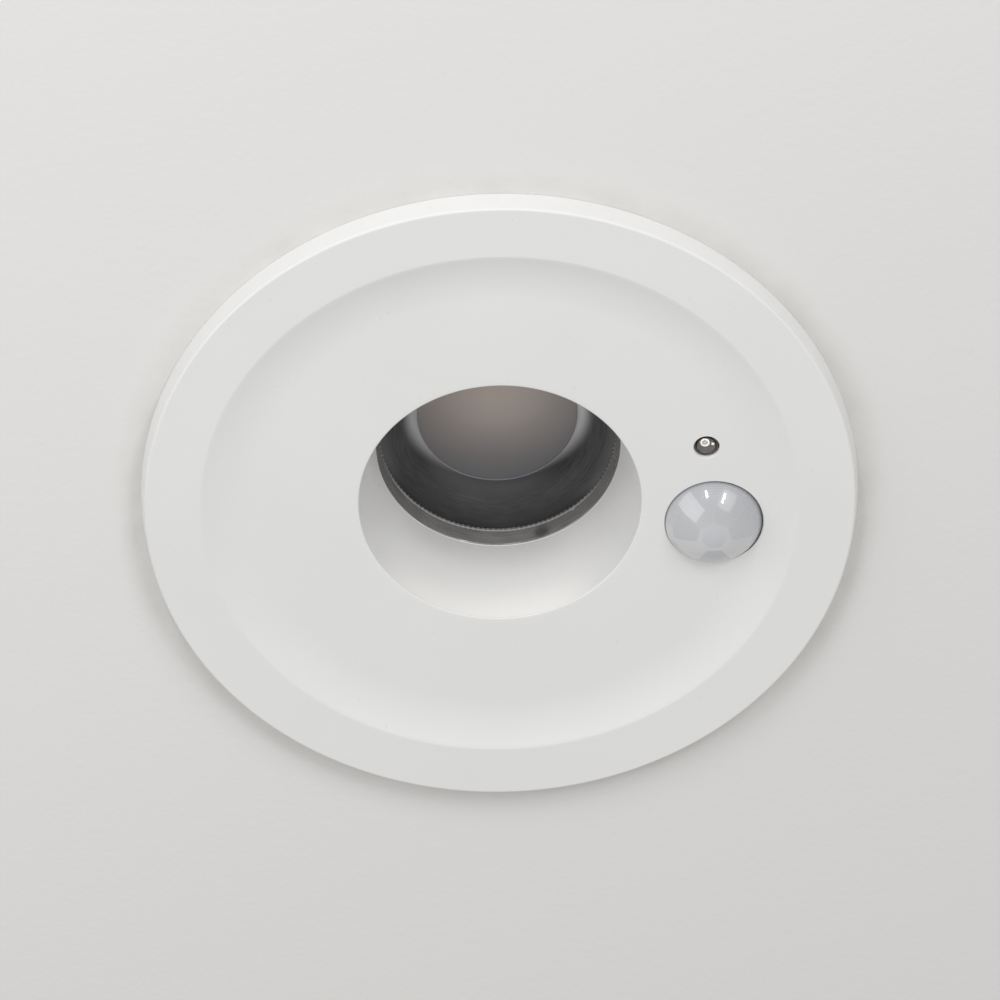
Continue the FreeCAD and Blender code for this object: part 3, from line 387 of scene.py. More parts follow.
# Rounds a sharp edge in the light and says where edges are
def buildSoftEdge():
    group, given = newGroup("softEdge", {"Radius": 0.15, "Width": 6.0},
                            {"Normal": "Vector", "Edge": "Float"})
    radius = times(given["Radius"], mm)
    bevel = addNode("Bevel", {"samples": 6, "Radius": radius}).outputs[0]
    flat = addNode("NewGeometry", {}, group).outputs["Normal"]
    dot = addNode("VectorMath", {"operation": "DOT_PRODUCT", 0: bevel, 1: flat})
    edge = times(minus(1.0, dot.outputs["Value"]), given["Width"])
    edge = maths("MINIMUM", maths("MAXIMUM", edge, 0.0), 1.0)
    return endGroup(group, {"Normal": bevel, "Edge": edge})


# Fine grain for bump, a slow drift of shade for colour, and small specks
grainLook = {"drift": (0.3, 0.7), "speck": (0.68, 0.76), "speckScale": 0.3}


def buildGrain():
    group, given = newGroup("grain", {"Grain mm": 0.3, "Drift mm": 18.0, "Stretch": 1.0},
                            {"Height": "Float", "Drift": "Float", "Speck": "Float"})
    place = placeIn(group)
    stretch = addNode("CombineXYZ", {"X": given["Stretch"], "Y": 1.0, "Z": 1.0})
    stretched = addNode("VectorMath", {"operation": "MULTIPLY", 0: place,
                                       1: stretch.outputs[0]}).outputs[0]
    fine = maths("DIVIDE", 1 / mm, given["Grain mm"])
    slow = maths("DIVIDE", 1 / mm, given["Drift mm"])
    small = noise(stretched, fine, 3.0, 0.6)
    large = noise(place, slow, 4.0, 0.55)
    dots = noise(place, times(fine, grainLook["speckScale"]), 1.0)
    return endGroup(group, {"Height": small, "Drift": ramp(large, *grainLook["drift"]),
                            "Speck": ramp(dots, *grainLook["speck"])})


softEdge = buildSoftEdge()
grain = buildGrain()


# One finish: two shades that drift into each other, grain in the bump, and edges made lighter
# towards a colour of their own
def makeFinish(name, colour, shade, rough, grainMm=0.25, grainDepth=0.01, driftMm=18.0,
               edgeMm=0.12, edgeColour=None, edgeShare=0.4, roughDrift=0.08, stretch=1.0,
               speck=None, **shader):
    material = newMaterial(name)
    tree = material.node_tree
    edges = addNode("Group", {"node_tree": softEdge, "Radius": edgeMm}, tree).outputs
    texture = addNode("Group", {"node_tree": grain, "Grain mm": grainMm, "Drift mm": driftMm,
                                "Stretch": stretch}, tree).outputs
    feed(material, "Base Color", mixColour(texture["Drift"], colour, shade))
    if speck:
        repaint(material, texture["Speck"], speck)
    if edgeColour:
        repaint(material, times(edges["Edge"], edgeShare), edgeColour)
    feed(material, "Roughness", ramp(texture["Drift"], 0.0, 1.0, rough - roughDrift / 2,
                                     rough + roughDrift / 2))
    addBump(material, texture["Height"], grainDepth, Normal=edges["Normal"])
    for key, value in shader.items():
        surfaceOf(material).inputs[key.replace("_", " ")].default_value = value
    return material


print("shader groups built")


# Finishes: colour, the shade that it drifts to, roughness, and what differs from the usual

finishTable = {
    "whiteBody": ((0.757, 0.756, 0.752), (0.737, 0.736, 0.732), 0.58, dict(
        grainDepth=0.006, driftMm=30, edgeMm=0.05, Specular_IOR_Level=0.35)),
    "foam": ((0.07, 0.07, 0.075), (0.05, 0.05, 0.055), 0.9, dict(
        grainMm=0.5, grainDepth=0.12, edgeMm=0.2, speck=(0.02, 0.02, 0.02))),
    "canSteel": ((0.55, 0.55, 0.53), (0.48, 0.48, 0.47), 0.3, dict(
        stretch=0.2, Metallic=1.0, edgeColour=(0.8, 0.8, 0.78))),
    "darkFilter": ((0.02, 0.02, 0.03), (0.03, 0.02, 0.04), 0.12, dict(Coat_Weight=0.5)),
    "sensorFrame": ((0.088, 0.083, 0.080), (0.078, 0.073, 0.070), 0.4, dict(
        grainMm=0.1, grainDepth=0.002, edgeMm=0.02)),
    "sleeveBrown": ((0.085, 0.066, 0.052), (0.065, 0.05, 0.04), 0.25, dict(
        grainMm=0.2, grainDepth=0.004, edgeMm=0.03, Coat_Weight=0.6, Coat_Roughness=0.08)),
    # painted light: a faint emission makes the metal cup glow brighter than the lamps light it
    "cupMetal": ((1.0, 0.97, 0.91), (1.0, 0.95, 0.88), 0.38, dict(
        grainMm=0.1, grainDepth=0.0005, edgeMm=0.02, Metallic=0.6,
        Emission_Color=(1.0, 0.93, 0.84, 1.0), Emission_Strength=0.12)),
    "chipGrey": ((0.46, 0.48, 0.53), (0.42, 0.44, 0.49), 0.25, dict(
        grainMm=0.1, grainDepth=0.002, edgeMm=0.02)),
    "clearResin": ((0.97, 0.96, 0.94), (0.95, 0.94, 0.92), 0.03, dict(
        roughDrift=0.01, grainDepth=0.0003, edgeMm=0.02, Transmission_Weight=1.0, IOR=1.18,
        Coat_Weight=1.0, Coat_Roughness=0.02)),
    "blackPlastic": ((0.022, 0.022, 0.024), (0.03, 0.03, 0.031), 0.48, dict(
        grainMm=0.18, edgeColour=(0.09, 0.09, 0.09))),
    "whitePlastic": ((0.74, 0.73, 0.69), (0.68, 0.67, 0.63), 0.45, dict(
        edgeMm=0.15, edgeColour=(0.85, 0.84, 0.8))),
    "chipBlack": ((0.018, 0.018, 0.02), (0.03, 0.03, 0.032), 0.62, dict(
        grainMm=0.12, edgeMm=0.15, edgeColour=(0.1, 0.1, 0.1))),
    "zincSteel": ((0.62, 0.62, 0.6), (0.5, 0.51, 0.52), 0.34, dict(
        Metallic=1.0, grainMm=0.35, grainDepth=0.008, stretch=0.12, driftMm=7,
        edgeColour=(0.86, 0.86, 0.84), edgeShare=0.6)),
    "leadSleeve": ((0.62, 0.6, 0.56), (0.55, 0.53, 0.5), 0.5, dict(edgeMm=0.1)),
    "springSteel": ((0.5, 0.5, 0.5), (0.38, 0.38, 0.4), 0.3, dict(
        Metallic=1.0, grainMm=0.12, driftMm=5, edgeMm=0.05)),
    "castAlloy": ((0.5, 0.505, 0.51), (0.42, 0.425, 0.435), 0.55, dict(
        Metallic=0.85, grainMm=0.45, grainDepth=0.05, driftMm=22, edgeMm=0.28,
        edgeColour=(0.78, 0.78, 0.78), edgeShare=0.55, speck=(0.40, 0.40, 0.41))),
    "sealRubber": ((0.33, 0.06, 0.035), (0.27, 0.05, 0.03), 0.55, {}),
    "caseGrey": ((0.56, 0.565, 0.56), (0.52, 0.525, 0.52), 0.52, dict(
        grainMm=0.3, grainDepth=0.02, edgeMm=0.35, edgeColour=(0.66, 0.665, 0.66))),
    "markGrey": ((0.26, 0.265, 0.27), (0.22, 0.225, 0.23), 0.5, dict(edgeMm=0.05)),
    "ferrite": ((0.035, 0.033, 0.035), (0.06, 0.058, 0.06), 0.7, dict(
        grainMm=0.3, grainDepth=0.03, edgeMm=0.25, edgeColour=(0.12, 0.12, 0.12))),
    "blueSleeve": ((0.02, 0.035, 0.12), (0.025, 0.045, 0.14), 0.28, dict(
        edgeMm=0.4, Coat_Weight=0.3)),
    "yellowBox": ((0.75, 0.5, 0.06), (0.68, 0.45, 0.05), 0.4, dict(edgeMm=0.3)),
    "varistorBlue": ((0.02, 0.16, 0.35), (0.02, 0.12, 0.3), 0.35, dict(
        edgeMm=0.5, Coat_Weight=0.4)),
    "dialYellow": ((0.72, 0.7, 0.64), (0.66, 0.64, 0.58), 0.4, dict(
        edgeMm=0.25, edgeColour=(0.8, 0.78, 0.72))),
    "brass": ((0.72, 0.52, 0.22), (0.6, 0.42, 0.17), 0.3, dict(
        Metallic=1.0, stretch=0.2, edgeColour=(0.9, 0.75, 0.45))),
    "padGrey": ((0.32, 0.36, 0.4), (0.28, 0.31, 0.35), 0.75, dict(grainDepth=0.03)),
    "whiteBoard": ((0.8, 0.8, 0.78), (0.76, 0.76, 0.75), 0.35, dict(edgeMm=0.1)),
    "phosphor": ((0.85, 0.62, 0.08), (0.8, 0.55, 0.06), 0.4, dict(
        grainMm=0.1, grainDepth=0.02, Coat_Weight=0.4)),
    "greenBoard": ((0.012, 0.11, 0.045), (0.012, 0.11, 0.045), 0.32, dict(
        grainMm=0.2, grainDepth=0.004, edgeMm=0.08, Coat_Weight=0.3)),
    "winding": ((0.5, 0.2, 0.07), (0.42, 0.15, 0.05), 0.35, dict(edgeMm=0.2, Metallic=0.9)),
    "domeSkin": ((0.60, 0.602, 0.608), (0.555, 0.56, 0.57), 0.36, dict(
        grainMm=0.6, grainDepth=0.0, driftMm=9, edgeMm=0.05, Coat_Weight=1.0,
        Coat_Roughness=0.05, Coat_IOR=1.7)),
    "ringDark": ((0.225, 0.218, 0.215), (0.15, 0.145, 0.142), 0.28, dict(
        grainMm=0.4, grainDepth=0.004, driftMm=6, edgeMm=0.05, Coat_Weight=0.3,
        Coat_Roughness=0.15)),
    "bowlDark": ((0.050, 0.048, 0.049), (0.034, 0.033, 0.033), 0.5, dict(
        grainMm=0.4, grainDepth=0.004, driftMm=6, edgeMm=0.05, Specular_IOR_Level=0.3,
        Sheen_Weight=0.6, Sheen_Roughness=0.3, Sheen_Tint=(0.8, 0.86, 0.96, 1.0))),
    "frosted": ((0.58, 0.498, 0.455), (0.557, 0.478, 0.437), 0.5, dict(
        driftMm=20, edgeMm=0.2, Coat_Weight=0.2, Coat_Roughness=0.35)),
}
finish = {name: makeFinish(name, colour, shade, rough, **more)
          for name, (colour, shade, rough, more) in finishTable.items()}


# Painted shade and light on the baffle: painted shade deep inside on its +Y side, painted light at
# its mouth, and a painted highlight line at its inner lip; ranges in mm
baffleShade = {"side": (12.5, 18.8), "deep": (6.0, 13.5), "shallow": (7.0, -1.5), "lip": 13.58,
               "throat": 21.65, "paintedShade": (0.61, 0.605, 0.595), "light": (0.85, 0.84, 0.815),
               "lipHighlight": (0.97, 0.965, 0.955)}


def shadeBaffle(material):
    b = baffleShade
    x, y, z = axesOf(placeIn(material.node_tree))
    side = smoothRamp(y, *b["side"])
    throat = below(distance(x, y), b["throat"])
    # painted shade deep inside, painted light near the mouth, and a painted highlight line at the
    # lip
    repaint(material, times(smoothRamp(z, *b["deep"]), side), b["paintedShade"])
    repaint(material, times(smoothRamp(z, *b["shallow"]), side, throat), b["light"])
    repaint(material, times(above(z, b["lip"]), throat), b["lipHighlight"])


# Single grains of dust, far apart
dustAndShade = [{"spacing": 3.2, "size": 0.09, "colour": (0.42, 0.40, 0.37)},
        {"spacing": 1.9, "size": 0.06, "colour": (0.46, 0.42, 0.38)}]
dustAndShadeShare = 0.6


def addDust(material, spacing, size, colour):
    place = placeIn(material.node_tree)
    cells = addNode("TexVoronoi", {"feature": "F1", "Scale": 1 / mm / spacing, "Vector": place})
    speck = below(cells.outputs["Distance"], size / spacing)
    repaint(material, times(speck, dustAndShadeShare), colour)


shadeBaffle(finish["whiteBody"])
for row in dustAndShade:
    addDust(finish["whiteBody"], **row)


# Solder mask with tracks under it
tracks = {"scale": 260.0, "line": (0.035, 0.055), "colour": (0.02, 0.19, 0.075)}


def addTracks(material):
    place = placeIn(material.node_tree)
    cells = addNode("TexVoronoi", {"feature": "DISTANCE_TO_EDGE", "Scale": tracks["scale"],
                                   "Vector": place})
    lines = ramp(cells.outputs["Distance"], *tracks["line"], 1.0, 0.0)
    repaint(material, lines, tracks["colour"])


addTracks(finish["greenBoard"])


# Copper wire wound in layers
turns = {"scale": 900.0, "uneven": 0.4, "depth": 0.12, "share": 0.6, "gap": (0.12, 0.035, 0.012)}


def addTurns(material):
    place = placeIn(material.node_tree)
    wire = addNode("TexWave", {
        "bands_direction": "Z", "Scale": turns["scale"], "Distortion": turns["uneven"],
        "Vector": place}).outputs[0]
    addBump(material, wire, turns["depth"])
    # painted shade in the grooves between the turns
    repaint(material, times(minus(1.0, wire), turns["share"]), turns["gap"])


addTurns(finish["winding"])


# Lens of the motion sensor: a middle facet and seven petals of stepped rings, round its pole
domeLook = {"x": 33.0, "outside": 8.6, "radius": 8.5, "pitch": 0.34, "facets": 7, "turn": 47.3,
            "middle": 1.75, "tier": 6.9, "outerTurn": 10, "outerPitch": 1.2, "foot": (2.4, 2.6),
            "riser": (0.55, 0.9), "seam": 0.12, "shadedSide": (3.0, -7.0),
            "petalShading": (0.55, 0.05, 1.0, 0.0, 0.7, 0.25, 0.4), "toneShare": 0.7,
            "middleShare": 0.8, "ringShare": 0.16, "seamShare": 0.1, "step": 0.03,
            "stepStrength": 0.1, "petalShadeColour": (0.385, 0.402, 0.435), "sideShade": (0.36, 0.37, 0.39),
            "centre": (0.49, 0.505, 0.54), "bright": (0.68, 0.68, 0.69)}


def addFacets(material):
    look = domeLook
    tree = material.node_tree
    x, y, z = axesOf(placeIn(tree))
    x = minus(x, look["x"])
    lean = maths("ARCSINE", maths("DIVIDE", distance(x, y), look["outside"]))
    reach = times(lean, look["radius"])
    angle = maths("ARCTAN2", y, x)

    # one tier of facets: how far out along a facet, how far from its seam, its rings, its number
    def tier(count, turn, pitch):
        sector = 2 * math.pi / count
        shifted = plus(angle, math.radians(turn) + 4 * math.pi)
        off = minus(maths("MODULO", shifted, sector), sector / 2)
        chord = times(reach, maths("COSINE", off))
        side = minus(sector / 2, maths("ABSOLUTE", off))
        seam = times(reach, maths("SINE", side))
        rings = maths("FRACT", maths("DIVIDE", chord, pitch))
        number = plus(maths("FLOOR", maths("DIVIDE", shifted, sector)), 0.5)
        return chord, seam, rings, maths("MODULO", number, count)

    chord, seam, rings, petal = tier(look["facets"], look["turn"], look["pitch"])
    outerSeam, outerRings, outerPetal = tier(look["facets"] * 2, look["turn"] + look["outerTurn"],
                                             look["pitch"] * look["outerPitch"])[1:]
    # each petal has its own painted shade, of how light comes through its facets; the outer tier's
    # is random
    tone = addNode("ValToRGB", {"Fac": maths("DIVIDE", petal, look["facets"])})
    tone.color_ramp.interpolation = "CONSTANT"
    stops = tone.color_ramp.elements
    for index, value in enumerate(look["petalShading"]):
        stop = stops.new(index / look["facets"]) if index else stops[0]
        stop.color = (value, value, value, 1)
    stops.remove(stops[-1])
    outerTone = addNode("TexWhiteNoise", {"noise_dimensions": "1D", "W": outerPetal})
    middle = below(chord, look["middle"])
    petals = minus(1.0, middle)
    outer = above(reach, look["tier"])
    inner = minus(1.0, outer)

    def byTier(near, far):
        return plus(times(near, inner), times(far, outer))

    # each ring is a shallow step with a bright riser
    steps = byTier(rings, outerRings)
    riser = times(ramp(steps, *look["riser"]), petals)
    seamLine = times(ramp(byTier(seam, outerSeam), 0.0, look["seam"], 1.0, 0.0), petals)
    petalShading = byTier(tone.outputs["Color"], outerTone.outputs["Value"])
    # painted shade on the petals, away from the middle facet
    petalShade = times(ramp(chord, *look["foot"]), petalShading, look["toneShare"])
    repaint(material, petalShade, look["petalShadeColour"])
    # painted shade: the side towards -Y is painted darker
    repaint(material, smoothRamp(y, *look["shadedSide"]), look["sideShade"])
    repaint(material, times(middle, look["middleShare"]), look["centre"])
    repaint(material, times(riser, look["ringShare"]), look["bright"])
    repaint(material, times(seamLine, look["seamShare"]), look["bright"])
    height = minus(times(steps, petals), seamLine)
    addBump(material, height, look["step"], Strength=look["stepStrength"])


addFacets(finish["domeSkin"])


# Dark ring and bowl: smoked plastic with turned streaks round the axis
streakLook = {"along": 0.9, "around": 1.2, "scale": 4.5, "range": (0.38, 0.62), "share": 0.45,
              "blotScale": 210.0, "blotRange": (0.5, 0.7), "blotShare": 0.22}


def addStreaks(material, streak, blot):
    s = streakLook
    place = placeIn(material.node_tree)
    x, y, z = axesOf(place)
    wrapped = addNode("CombineXYZ", {
        "X": times(distance(x, y), s["along"]), "Y": times(maths("ARCTAN2", y, x), s["around"]),
        "Z": times(z, s["along"])}).outputs[0]
    streaks = ramp(noise(wrapped, s["scale"], 3.0), *s["range"])
    blots = ramp(noise(place, s["blotScale"], 2.0), *s["blotRange"])
    repaint(material, times(streaks, s["share"]), streak)
    repaint(material, times(blots, s["blotShare"]), blot)


# A painted highlight with fine teeth runs round the ring's upper edge, and fades away from +Y
beadHighlight = {"low": 16.9, "high": 17.15, "teeth": 144, "depth": (0.7, 1.0), "side": (6.0, 12.5),
        "colour": (0.62, 0.61, 0.60)}


def addBeadHighlight(material):
    x, y, z = axesOf(placeIn(material.node_tree))
    inside = times(above(z, beadHighlight["low"]), below(z, beadHighlight["high"]))
    turn = times(maths("ARCTAN2", y, x), beadHighlight["teeth"] / (2 * math.pi))
    tooth = maths("ABSOLUTE", minus(maths("FRACT", turn), 0.5))
    # painted highlight line, strongest on the +Y side
    share = times(inside, ramp(tooth, 0.0, 0.5, *beadHighlight["depth"]), smoothRamp(y, *beadHighlight["side"]))
    repaint(material, share, beadHighlight["colour"])


# Marks of the ring's moulding, each at a place and fading out over its size
marks = [{"place": (8.9, 16.4, 15.3), "size": 1.9, "share": 0.75, "colour": (0.055, 0.053, 0.055)},
         {"place": (13.5, 12.75, 16.9), "size": 0.5, "share": 0.9, "colour": (0.55, 0.54, 0.53)}]
markCore = 0.3


def addMark(material, place, size, share, colour):
    where = placeIn(material.node_tree)
    away = addNode("VectorMath", {
        "operation": "DISTANCE", 0: where, 1: Vector(place) * mm}).outputs["Value"]
    repaint(material, smoothRamp(away, size * mm, size * markCore * mm, share), colour)


addStreaks(finish["ringDark"], (0.29, 0.283, 0.28), (0.15, 0.145, 0.142))
addBeadHighlight(finish["ringDark"])
for mark in marks:
    addMark(finish["ringDark"], **mark)


# On its +Y side the bowl gets painted shade next to the ring and painted light next to the disc,
# and on its other side painted light next to the ring. Its metallised surface gets a painted sheen
# where it is seen aslant, most of all next to the disc, and a painted highlight line runs round the
# disc.
bowlShade = {"side": (6.0, 13.0), "wide": (12.8, 16.5, 0.5), "narrow": (16.3, 18.4, 0.9),
             "deep": (18.7, 21.6), "paintedShade": (0.022, 0.021, 0.022), "light": (0.135, 0.133, 0.134),
             "inner": (0.142, 0.138, 0.143), "near": (17.6, 19.5), "slant": (0.28, 0.66),
             "paintedSheen": (0.64, 0.642, 0.645), "rim": 22.35, "line": (0.47, 0.47, 0.56)}


def shadeBowl(material):
    b = bowlShade
    x, y, z = axesOf(placeIn(material.node_tree))
    flat = distance(x, y)
    side = smoothRamp(y, *b["side"])
    # painted shade and painted light, by side, radius and depth
    repaint(material, times(smoothRamp(flat, *b["wide"]), side), b["paintedShade"])
    repaint(material, times(smoothRamp(z, *b["deep"]), side), b["inner"])
    repaint(material, times(smoothRamp(flat, *b["narrow"]), minus(1.0, side)), b["light"])
    # painted sheen where the surface is seen aslant, then a painted highlight line round the disc
    slant = addNode("LayerWeight", {"Blend": 0.5}, material.node_tree)
    paintedSheen = smoothRamp(slant.outputs["Facing"], *b["slant"])
    repaint(material, times(smoothRamp(z, *b["near"]), paintedSheen), b["paintedSheen"])
    repaint(material, above(z, b["rim"]), b["line"])


addStreaks(finish["bowlDark"], (0.088, 0.085, 0.086), (0.034, 0.033, 0.033))
shadeBowl(finish["bowlDark"])


# Painted light and shade on the disc: painted lightest and warmest a little off its centre, and
# painted darker and greyer towards its edge
discShading = {"centre": (-1.5, -5.0), "across": 0.816, "reach": 16.7, "edge": (0.157, 0.154, 0.157)}


def shadeDisc(material):
    x, y, z = axesOf(placeIn(material.node_tree))
    x = minus(times(x, discShading["across"]), discShading["centre"][0])
    y = minus(y, discShading["centre"][1])
    # painted shade towards the disc's edge
    repaint(material, smoothRamp(distance(x, y), 0.0, discShading["reach"]), discShading["edge"])


shadeDisc(finish["frosted"])
print("finishes made:", len(bpy.data.materials))


# Bezel: the section is turned about the axis, then the two sensor holes are cut. The outer
# edge is given as how far in and how high, and the other sizes are radii and heights in mm.

bezel = {"outer": 55.0, "edge": [(0, 0), (0.18, -1.0), (0.37, -2.1)], "rim": 54.4, "front": -3.4,
         "rimSoft": 0.4, "flatRings": (52.0, 49.0), "crease": 45.8, "creaseBand": 0.25,
         "floor": 37.5, "floorFront": -2.0, "floorBack": -0.2,
         "floorRings": (35.2, 33.0, 30.8, 28.6, 26.4, 24.4, 22.6), "mouth": 21.7, "throat": 18.9,
         "throatHeight": 14.0, "lipSoft": 0.22, "innerSoft": 0.25, "wall": 1.6, "collar": 45.0,
         "collarHeight": 10.0, "collarSoft": 0.3, "root": 0.6, "hollow": (53.2, 53.8),
         "hollowHeight": -2.0, "steps": 256}

# the dome's hole follows its sphere, with a softened lip
sensorHoles = [
    {"name": "domeHoleTool", "place": (33.05, -0.30), "steps": 96,
     "points": [(0, -6.0), (8.4, -6.0), (7.66, -2.06), *arc((0, 2.3), 8.71, -29.4, -14, 8),
                (8.5, 3.0), (0, 3.0)]},
    {"name": "lightHoleTool", "place": (30.0, -13.89), "steps": 64,
     "points": [(0, -6.0), (3.0, -6.0), (2.16, -2.08), (2.04, -1.98), (1.98, -1.84),
                (1.98, 3.0), (0, 3.0)]}]

# bosses for the sensor board and posts for the body screws
bosses = [
    {"outer": 2.2, "bore": 1.3, "top": 7.0,
     "places": [(39.49, 10.8), (25.42, 10.06), (37.31, -11.84)]},
    {"outer": 3.4, "bore": 1.55, "top": 10.0,
     "places": [(31, 22), (31, -22), (-31, 22), (-31, -22)]}]
bossFoot = {"flare": 0.15, "low": -0.25, "high": 0.3}

# ledges inside the collar, over the body's two flats
ledges = {"radius": 43.6, "thick": 1.8, "height": 9.1, "flat": 34.6}


def bezelSection():
    b = bezel
    front, floor, collar, top = b["front"], b["floorFront"], b["collar"], b["collarHeight"]
    inside = collar - b["wall"]
    run, drop = b["crease"] - b["floor"], floor - front
    bow = (run * run + drop * drop) / (2 * drop)
    sweep = math.degrees(math.asin(run / bow))
    mouth, throat = (b["mouth"], floor), (b["throat"], b["throatHeight"])
    section = [(b["outer"] - back, height) for back, height in b["edge"]]
    section += roundCorner((b["outer"], 0), (b["rim"], front), (b["floor"], front),
                           b["rimSoft"], steps=7)
    section += [(radius, front) for radius in (*b["flatRings"], b["crease"] + b["creaseBand"])]
    section += arc((b["floor"], floor - bow), bow, 90 - sweep, 90, steps=14)
    section += [(radius, floor) for radius in b["floorRings"]]
    section += roundCorner((b["floor"], floor), mouth, throat, b["lipSoft"], steps=6)
    section += [tuple(Vector(mouth).lerp(Vector(throat), share)) for share in (0.2, 0.4, 0.6, 0.8)]
    section += roundCorner(mouth, throat, (b["mouth"], b["throatHeight"]), b["innerSoft"])
    section += [(b["throat"] + b["wall"], b["throatHeight"]),
                (b["mouth"] + b["wall"], b["floorBack"]), (inside, b["floorBack"]), (inside, top)]
    section += roundCorner((inside, top), (collar, top), (collar, 0), b["collarSoft"], steps=3)
    section += [(collar, 0), (collar + b["root"], 0), (collar + b["root"], b["hollowHeight"]),
                (b["hollow"][0], b["hollowHeight"]), (b["hollow"][1], 0)]
    return section


def buildBoss(row, place):
    foot, outer = bossFoot, row["outer"]
    tube = [(outer + foot["flare"], foot["low"]), (outer, foot["high"]), (outer, row["top"]),
            (row["bore"], row["top"]), (row["bore"], foot["low"])]
    return turnedPiece("bossPart", tube, place, steps=32)


def buildLedge(side):
    clearSelection()
    bpy.ops.mesh.primitive_cylinder_add(vertices=128, radius=ledges["radius"] * mm,
                                        depth=ledges["thick"] * mm,
                                        location=(0, 0, ledges["height"] * mm))
    ledge = made("ledge")
    editAll(ledge)
    bpy.ops.mesh.bisect(plane_co=(0, side * ledges["flat"] * mm, 0), plane_no=(0, side, 0),
                        clear_inner=True, use_fill=True)
    objectMode()
    pick(ledge)
    bpy.ops.object.transform_apply(location=True, rotation=True, scale=True)
    return ledge


def buildBezel():
    piece = turnedPiece("bezelBody", bezelSection(), steps=bezel["steps"])
    for hole in sensorHoles:
        cutBy(piece, turnedPiece(**hole))
    extras = [buildBoss(row, place) for row in bosses for place in row["places"]]
    joinedTo(piece, extras + [buildLedge(1), buildLedge(-1)])
    smoothed(piece, angle=28)
    return applied(piece, "WEIGHTED_NORMAL", keep_sharp=True, weight=80)


bezelBody = finished(buildBezel(), "whiteBody", "white_body", "bezel")
print("bezel built:", len(bezelBody.data.polygons), "faces")


# Dome of the motion sensor, with the flange that holds it behind the bezel

dome = {"place": (33.0, 0), "centre": 2.3, "radius": 8.5, "wall": 0.6, "flange": 9.0,
        "flangeLow": -0.2, "flangeHigh": 0.8}


def buildDome():
    d = dome
    low, high, middle = d["flangeLow"], d["flangeHigh"], d["centre"]
    inner = d["radius"] - d["wall"]
    lowAngle = math.degrees(math.asin((low - middle) / d["radius"]))
    highAngle = math.degrees(math.asin((high - middle) / inner))
    section = arc((0, middle), d["radius"], -90, lowAngle, steps=40)
    section += [(d["flange"], low), (d["flange"], high)]
    section += arc((0, middle), inner, highAngle, -90, steps=32)
    return turnedPiece("domeLens", section, d["place"], steps=128, angle=40)


finished(buildDome(), "domeSkin", "dome", "pir_lens")


# Light sensor: a clear package with a flat front, a metal ring and a chip right behind it,
# and the legs

lightSensor = {"place": (29.93, -13.89), "front": -1.75, "frontSoft": 0.12, "radius": 1.45,
               "top": 3.5, "rim": 1.65, "rimHeight": 0.8}
sensorMetal = {"cup": (29.66, -14.52), "low": -1.69, "high": -1.57, "radius": 0.72, "hole": 0.43,
               "slope": 0.05, "holeSoft": 0.02, "rimSoft": 0.04, "legs": (29.62, 30.56),
               "legHalf": 0.24, "legLow": -1.44, "legTop": 9.0, "legSoft": 0.07,
               "flag": ((30.68, -14.62, -1.69), (31.12, -14.18, -1.49)), "flagSoft": 0.08}
chip = {"half": 0.27, "low": -1.67, "high": -1.58, "soft": 0.04}
# tube round the package, with a nose that reaches into the bezel's hole
sleeve = {"name": "sensorSleeve", "place": lightSensor["place"], "steps": 64, "angle": 35,
          "points": [(2.6, -0.2), (2.6, 7.0), (2.2, 7.0), (2.2, 2.6), (1.55, 2.2), (1.55, -1.32),
                     (1.65, -1.42), (1.86, -1.42), (1.86, -0.2)]}
# moulded frame inside the package, behind the metal
sensorFrame = {"name": "sensorFrameDisc", "place": lightSensor["place"], "steps": 48, "angle": 35,
               "points": [(0, -1.6), (1.32, -1.6), (1.4, -1.5), (1.4, -1.1), (0, -1.1)]}


def buildSensorPackage():
    s = lightSensor
    shoulder = s["top"] - s["rimHeight"]
    corner = (s["radius"], s["front"])
    section = [(0, s["front"])]
    section += roundCorner((0, s["front"]), corner, (s["radius"], 0), s["frontSoft"], steps=4)
    section += [(s["radius"], shoulder), (s["rim"], shoulder), (s["rim"], s["top"]), (0, s["top"])]
    return turnedPiece("sensorPackage", section, s["place"], steps=64, angle=40)


def buildSensorMetal():
    s = sensorMetal
    low, high, r, hole, h = s["low"], s["high"], s["radius"], s["hole"], s["legHalf"]
    start = (hole - s["slope"], high)
    section = roundCorner(start, (hole, low), (r, low), s["holeSoft"], steps=3)
    section += roundCorner((hole, low), (r, low), (r, high), s["rimSoft"], steps=3)
    section += [(r, high), start]
    cup = turnedPiece("sensorCup", section, s["cup"], steps=40, angle=35)
    y = lightSensor["place"][1]
    parts = [boxPiece("sensorLeg", (x - h, y - h, s["legLow"]), (x + h, y + h, s["legTop"]),
                      s["legSoft"]) for x in s["legs"]]
    parts.append(boxPiece("postFlag", *s["flag"], s["flagSoft"]))
    joinedTo(cup, parts)
    return smoothed(cup, angle=35)


def buildSensorChip():
    x, y = sensorMetal["cup"]
    h, low, high = chip["half"], chip["low"], chip["high"]
    return smoothed(boxPiece("sensorChip", (x - h, y - h, low), (x + h, y + h, high),
                             chip["soft"]), angle=30)


sensorPackage = finished(buildSensorPackage(), "clearResin", "clear", "light_sensor")
finished(buildSensorMetal(), "cupMetal", "tinned", "light_sensor_leads")
finished(turnedPiece(**sleeve), "sleeveBrown", "black_plastic", "light_sensor_sleeve")
finished(buildSensorChip(), "chipGrey", "chip")
finished(turnedPiece(**sensorFrame), "sensorFrame", "chip")
# clear resin lets the lamps through to what it holds
sensorPackage.visible_shadow = False
print("light sensor built")


# Ring at the baffle's inner end, with fine teeth along its upper edge

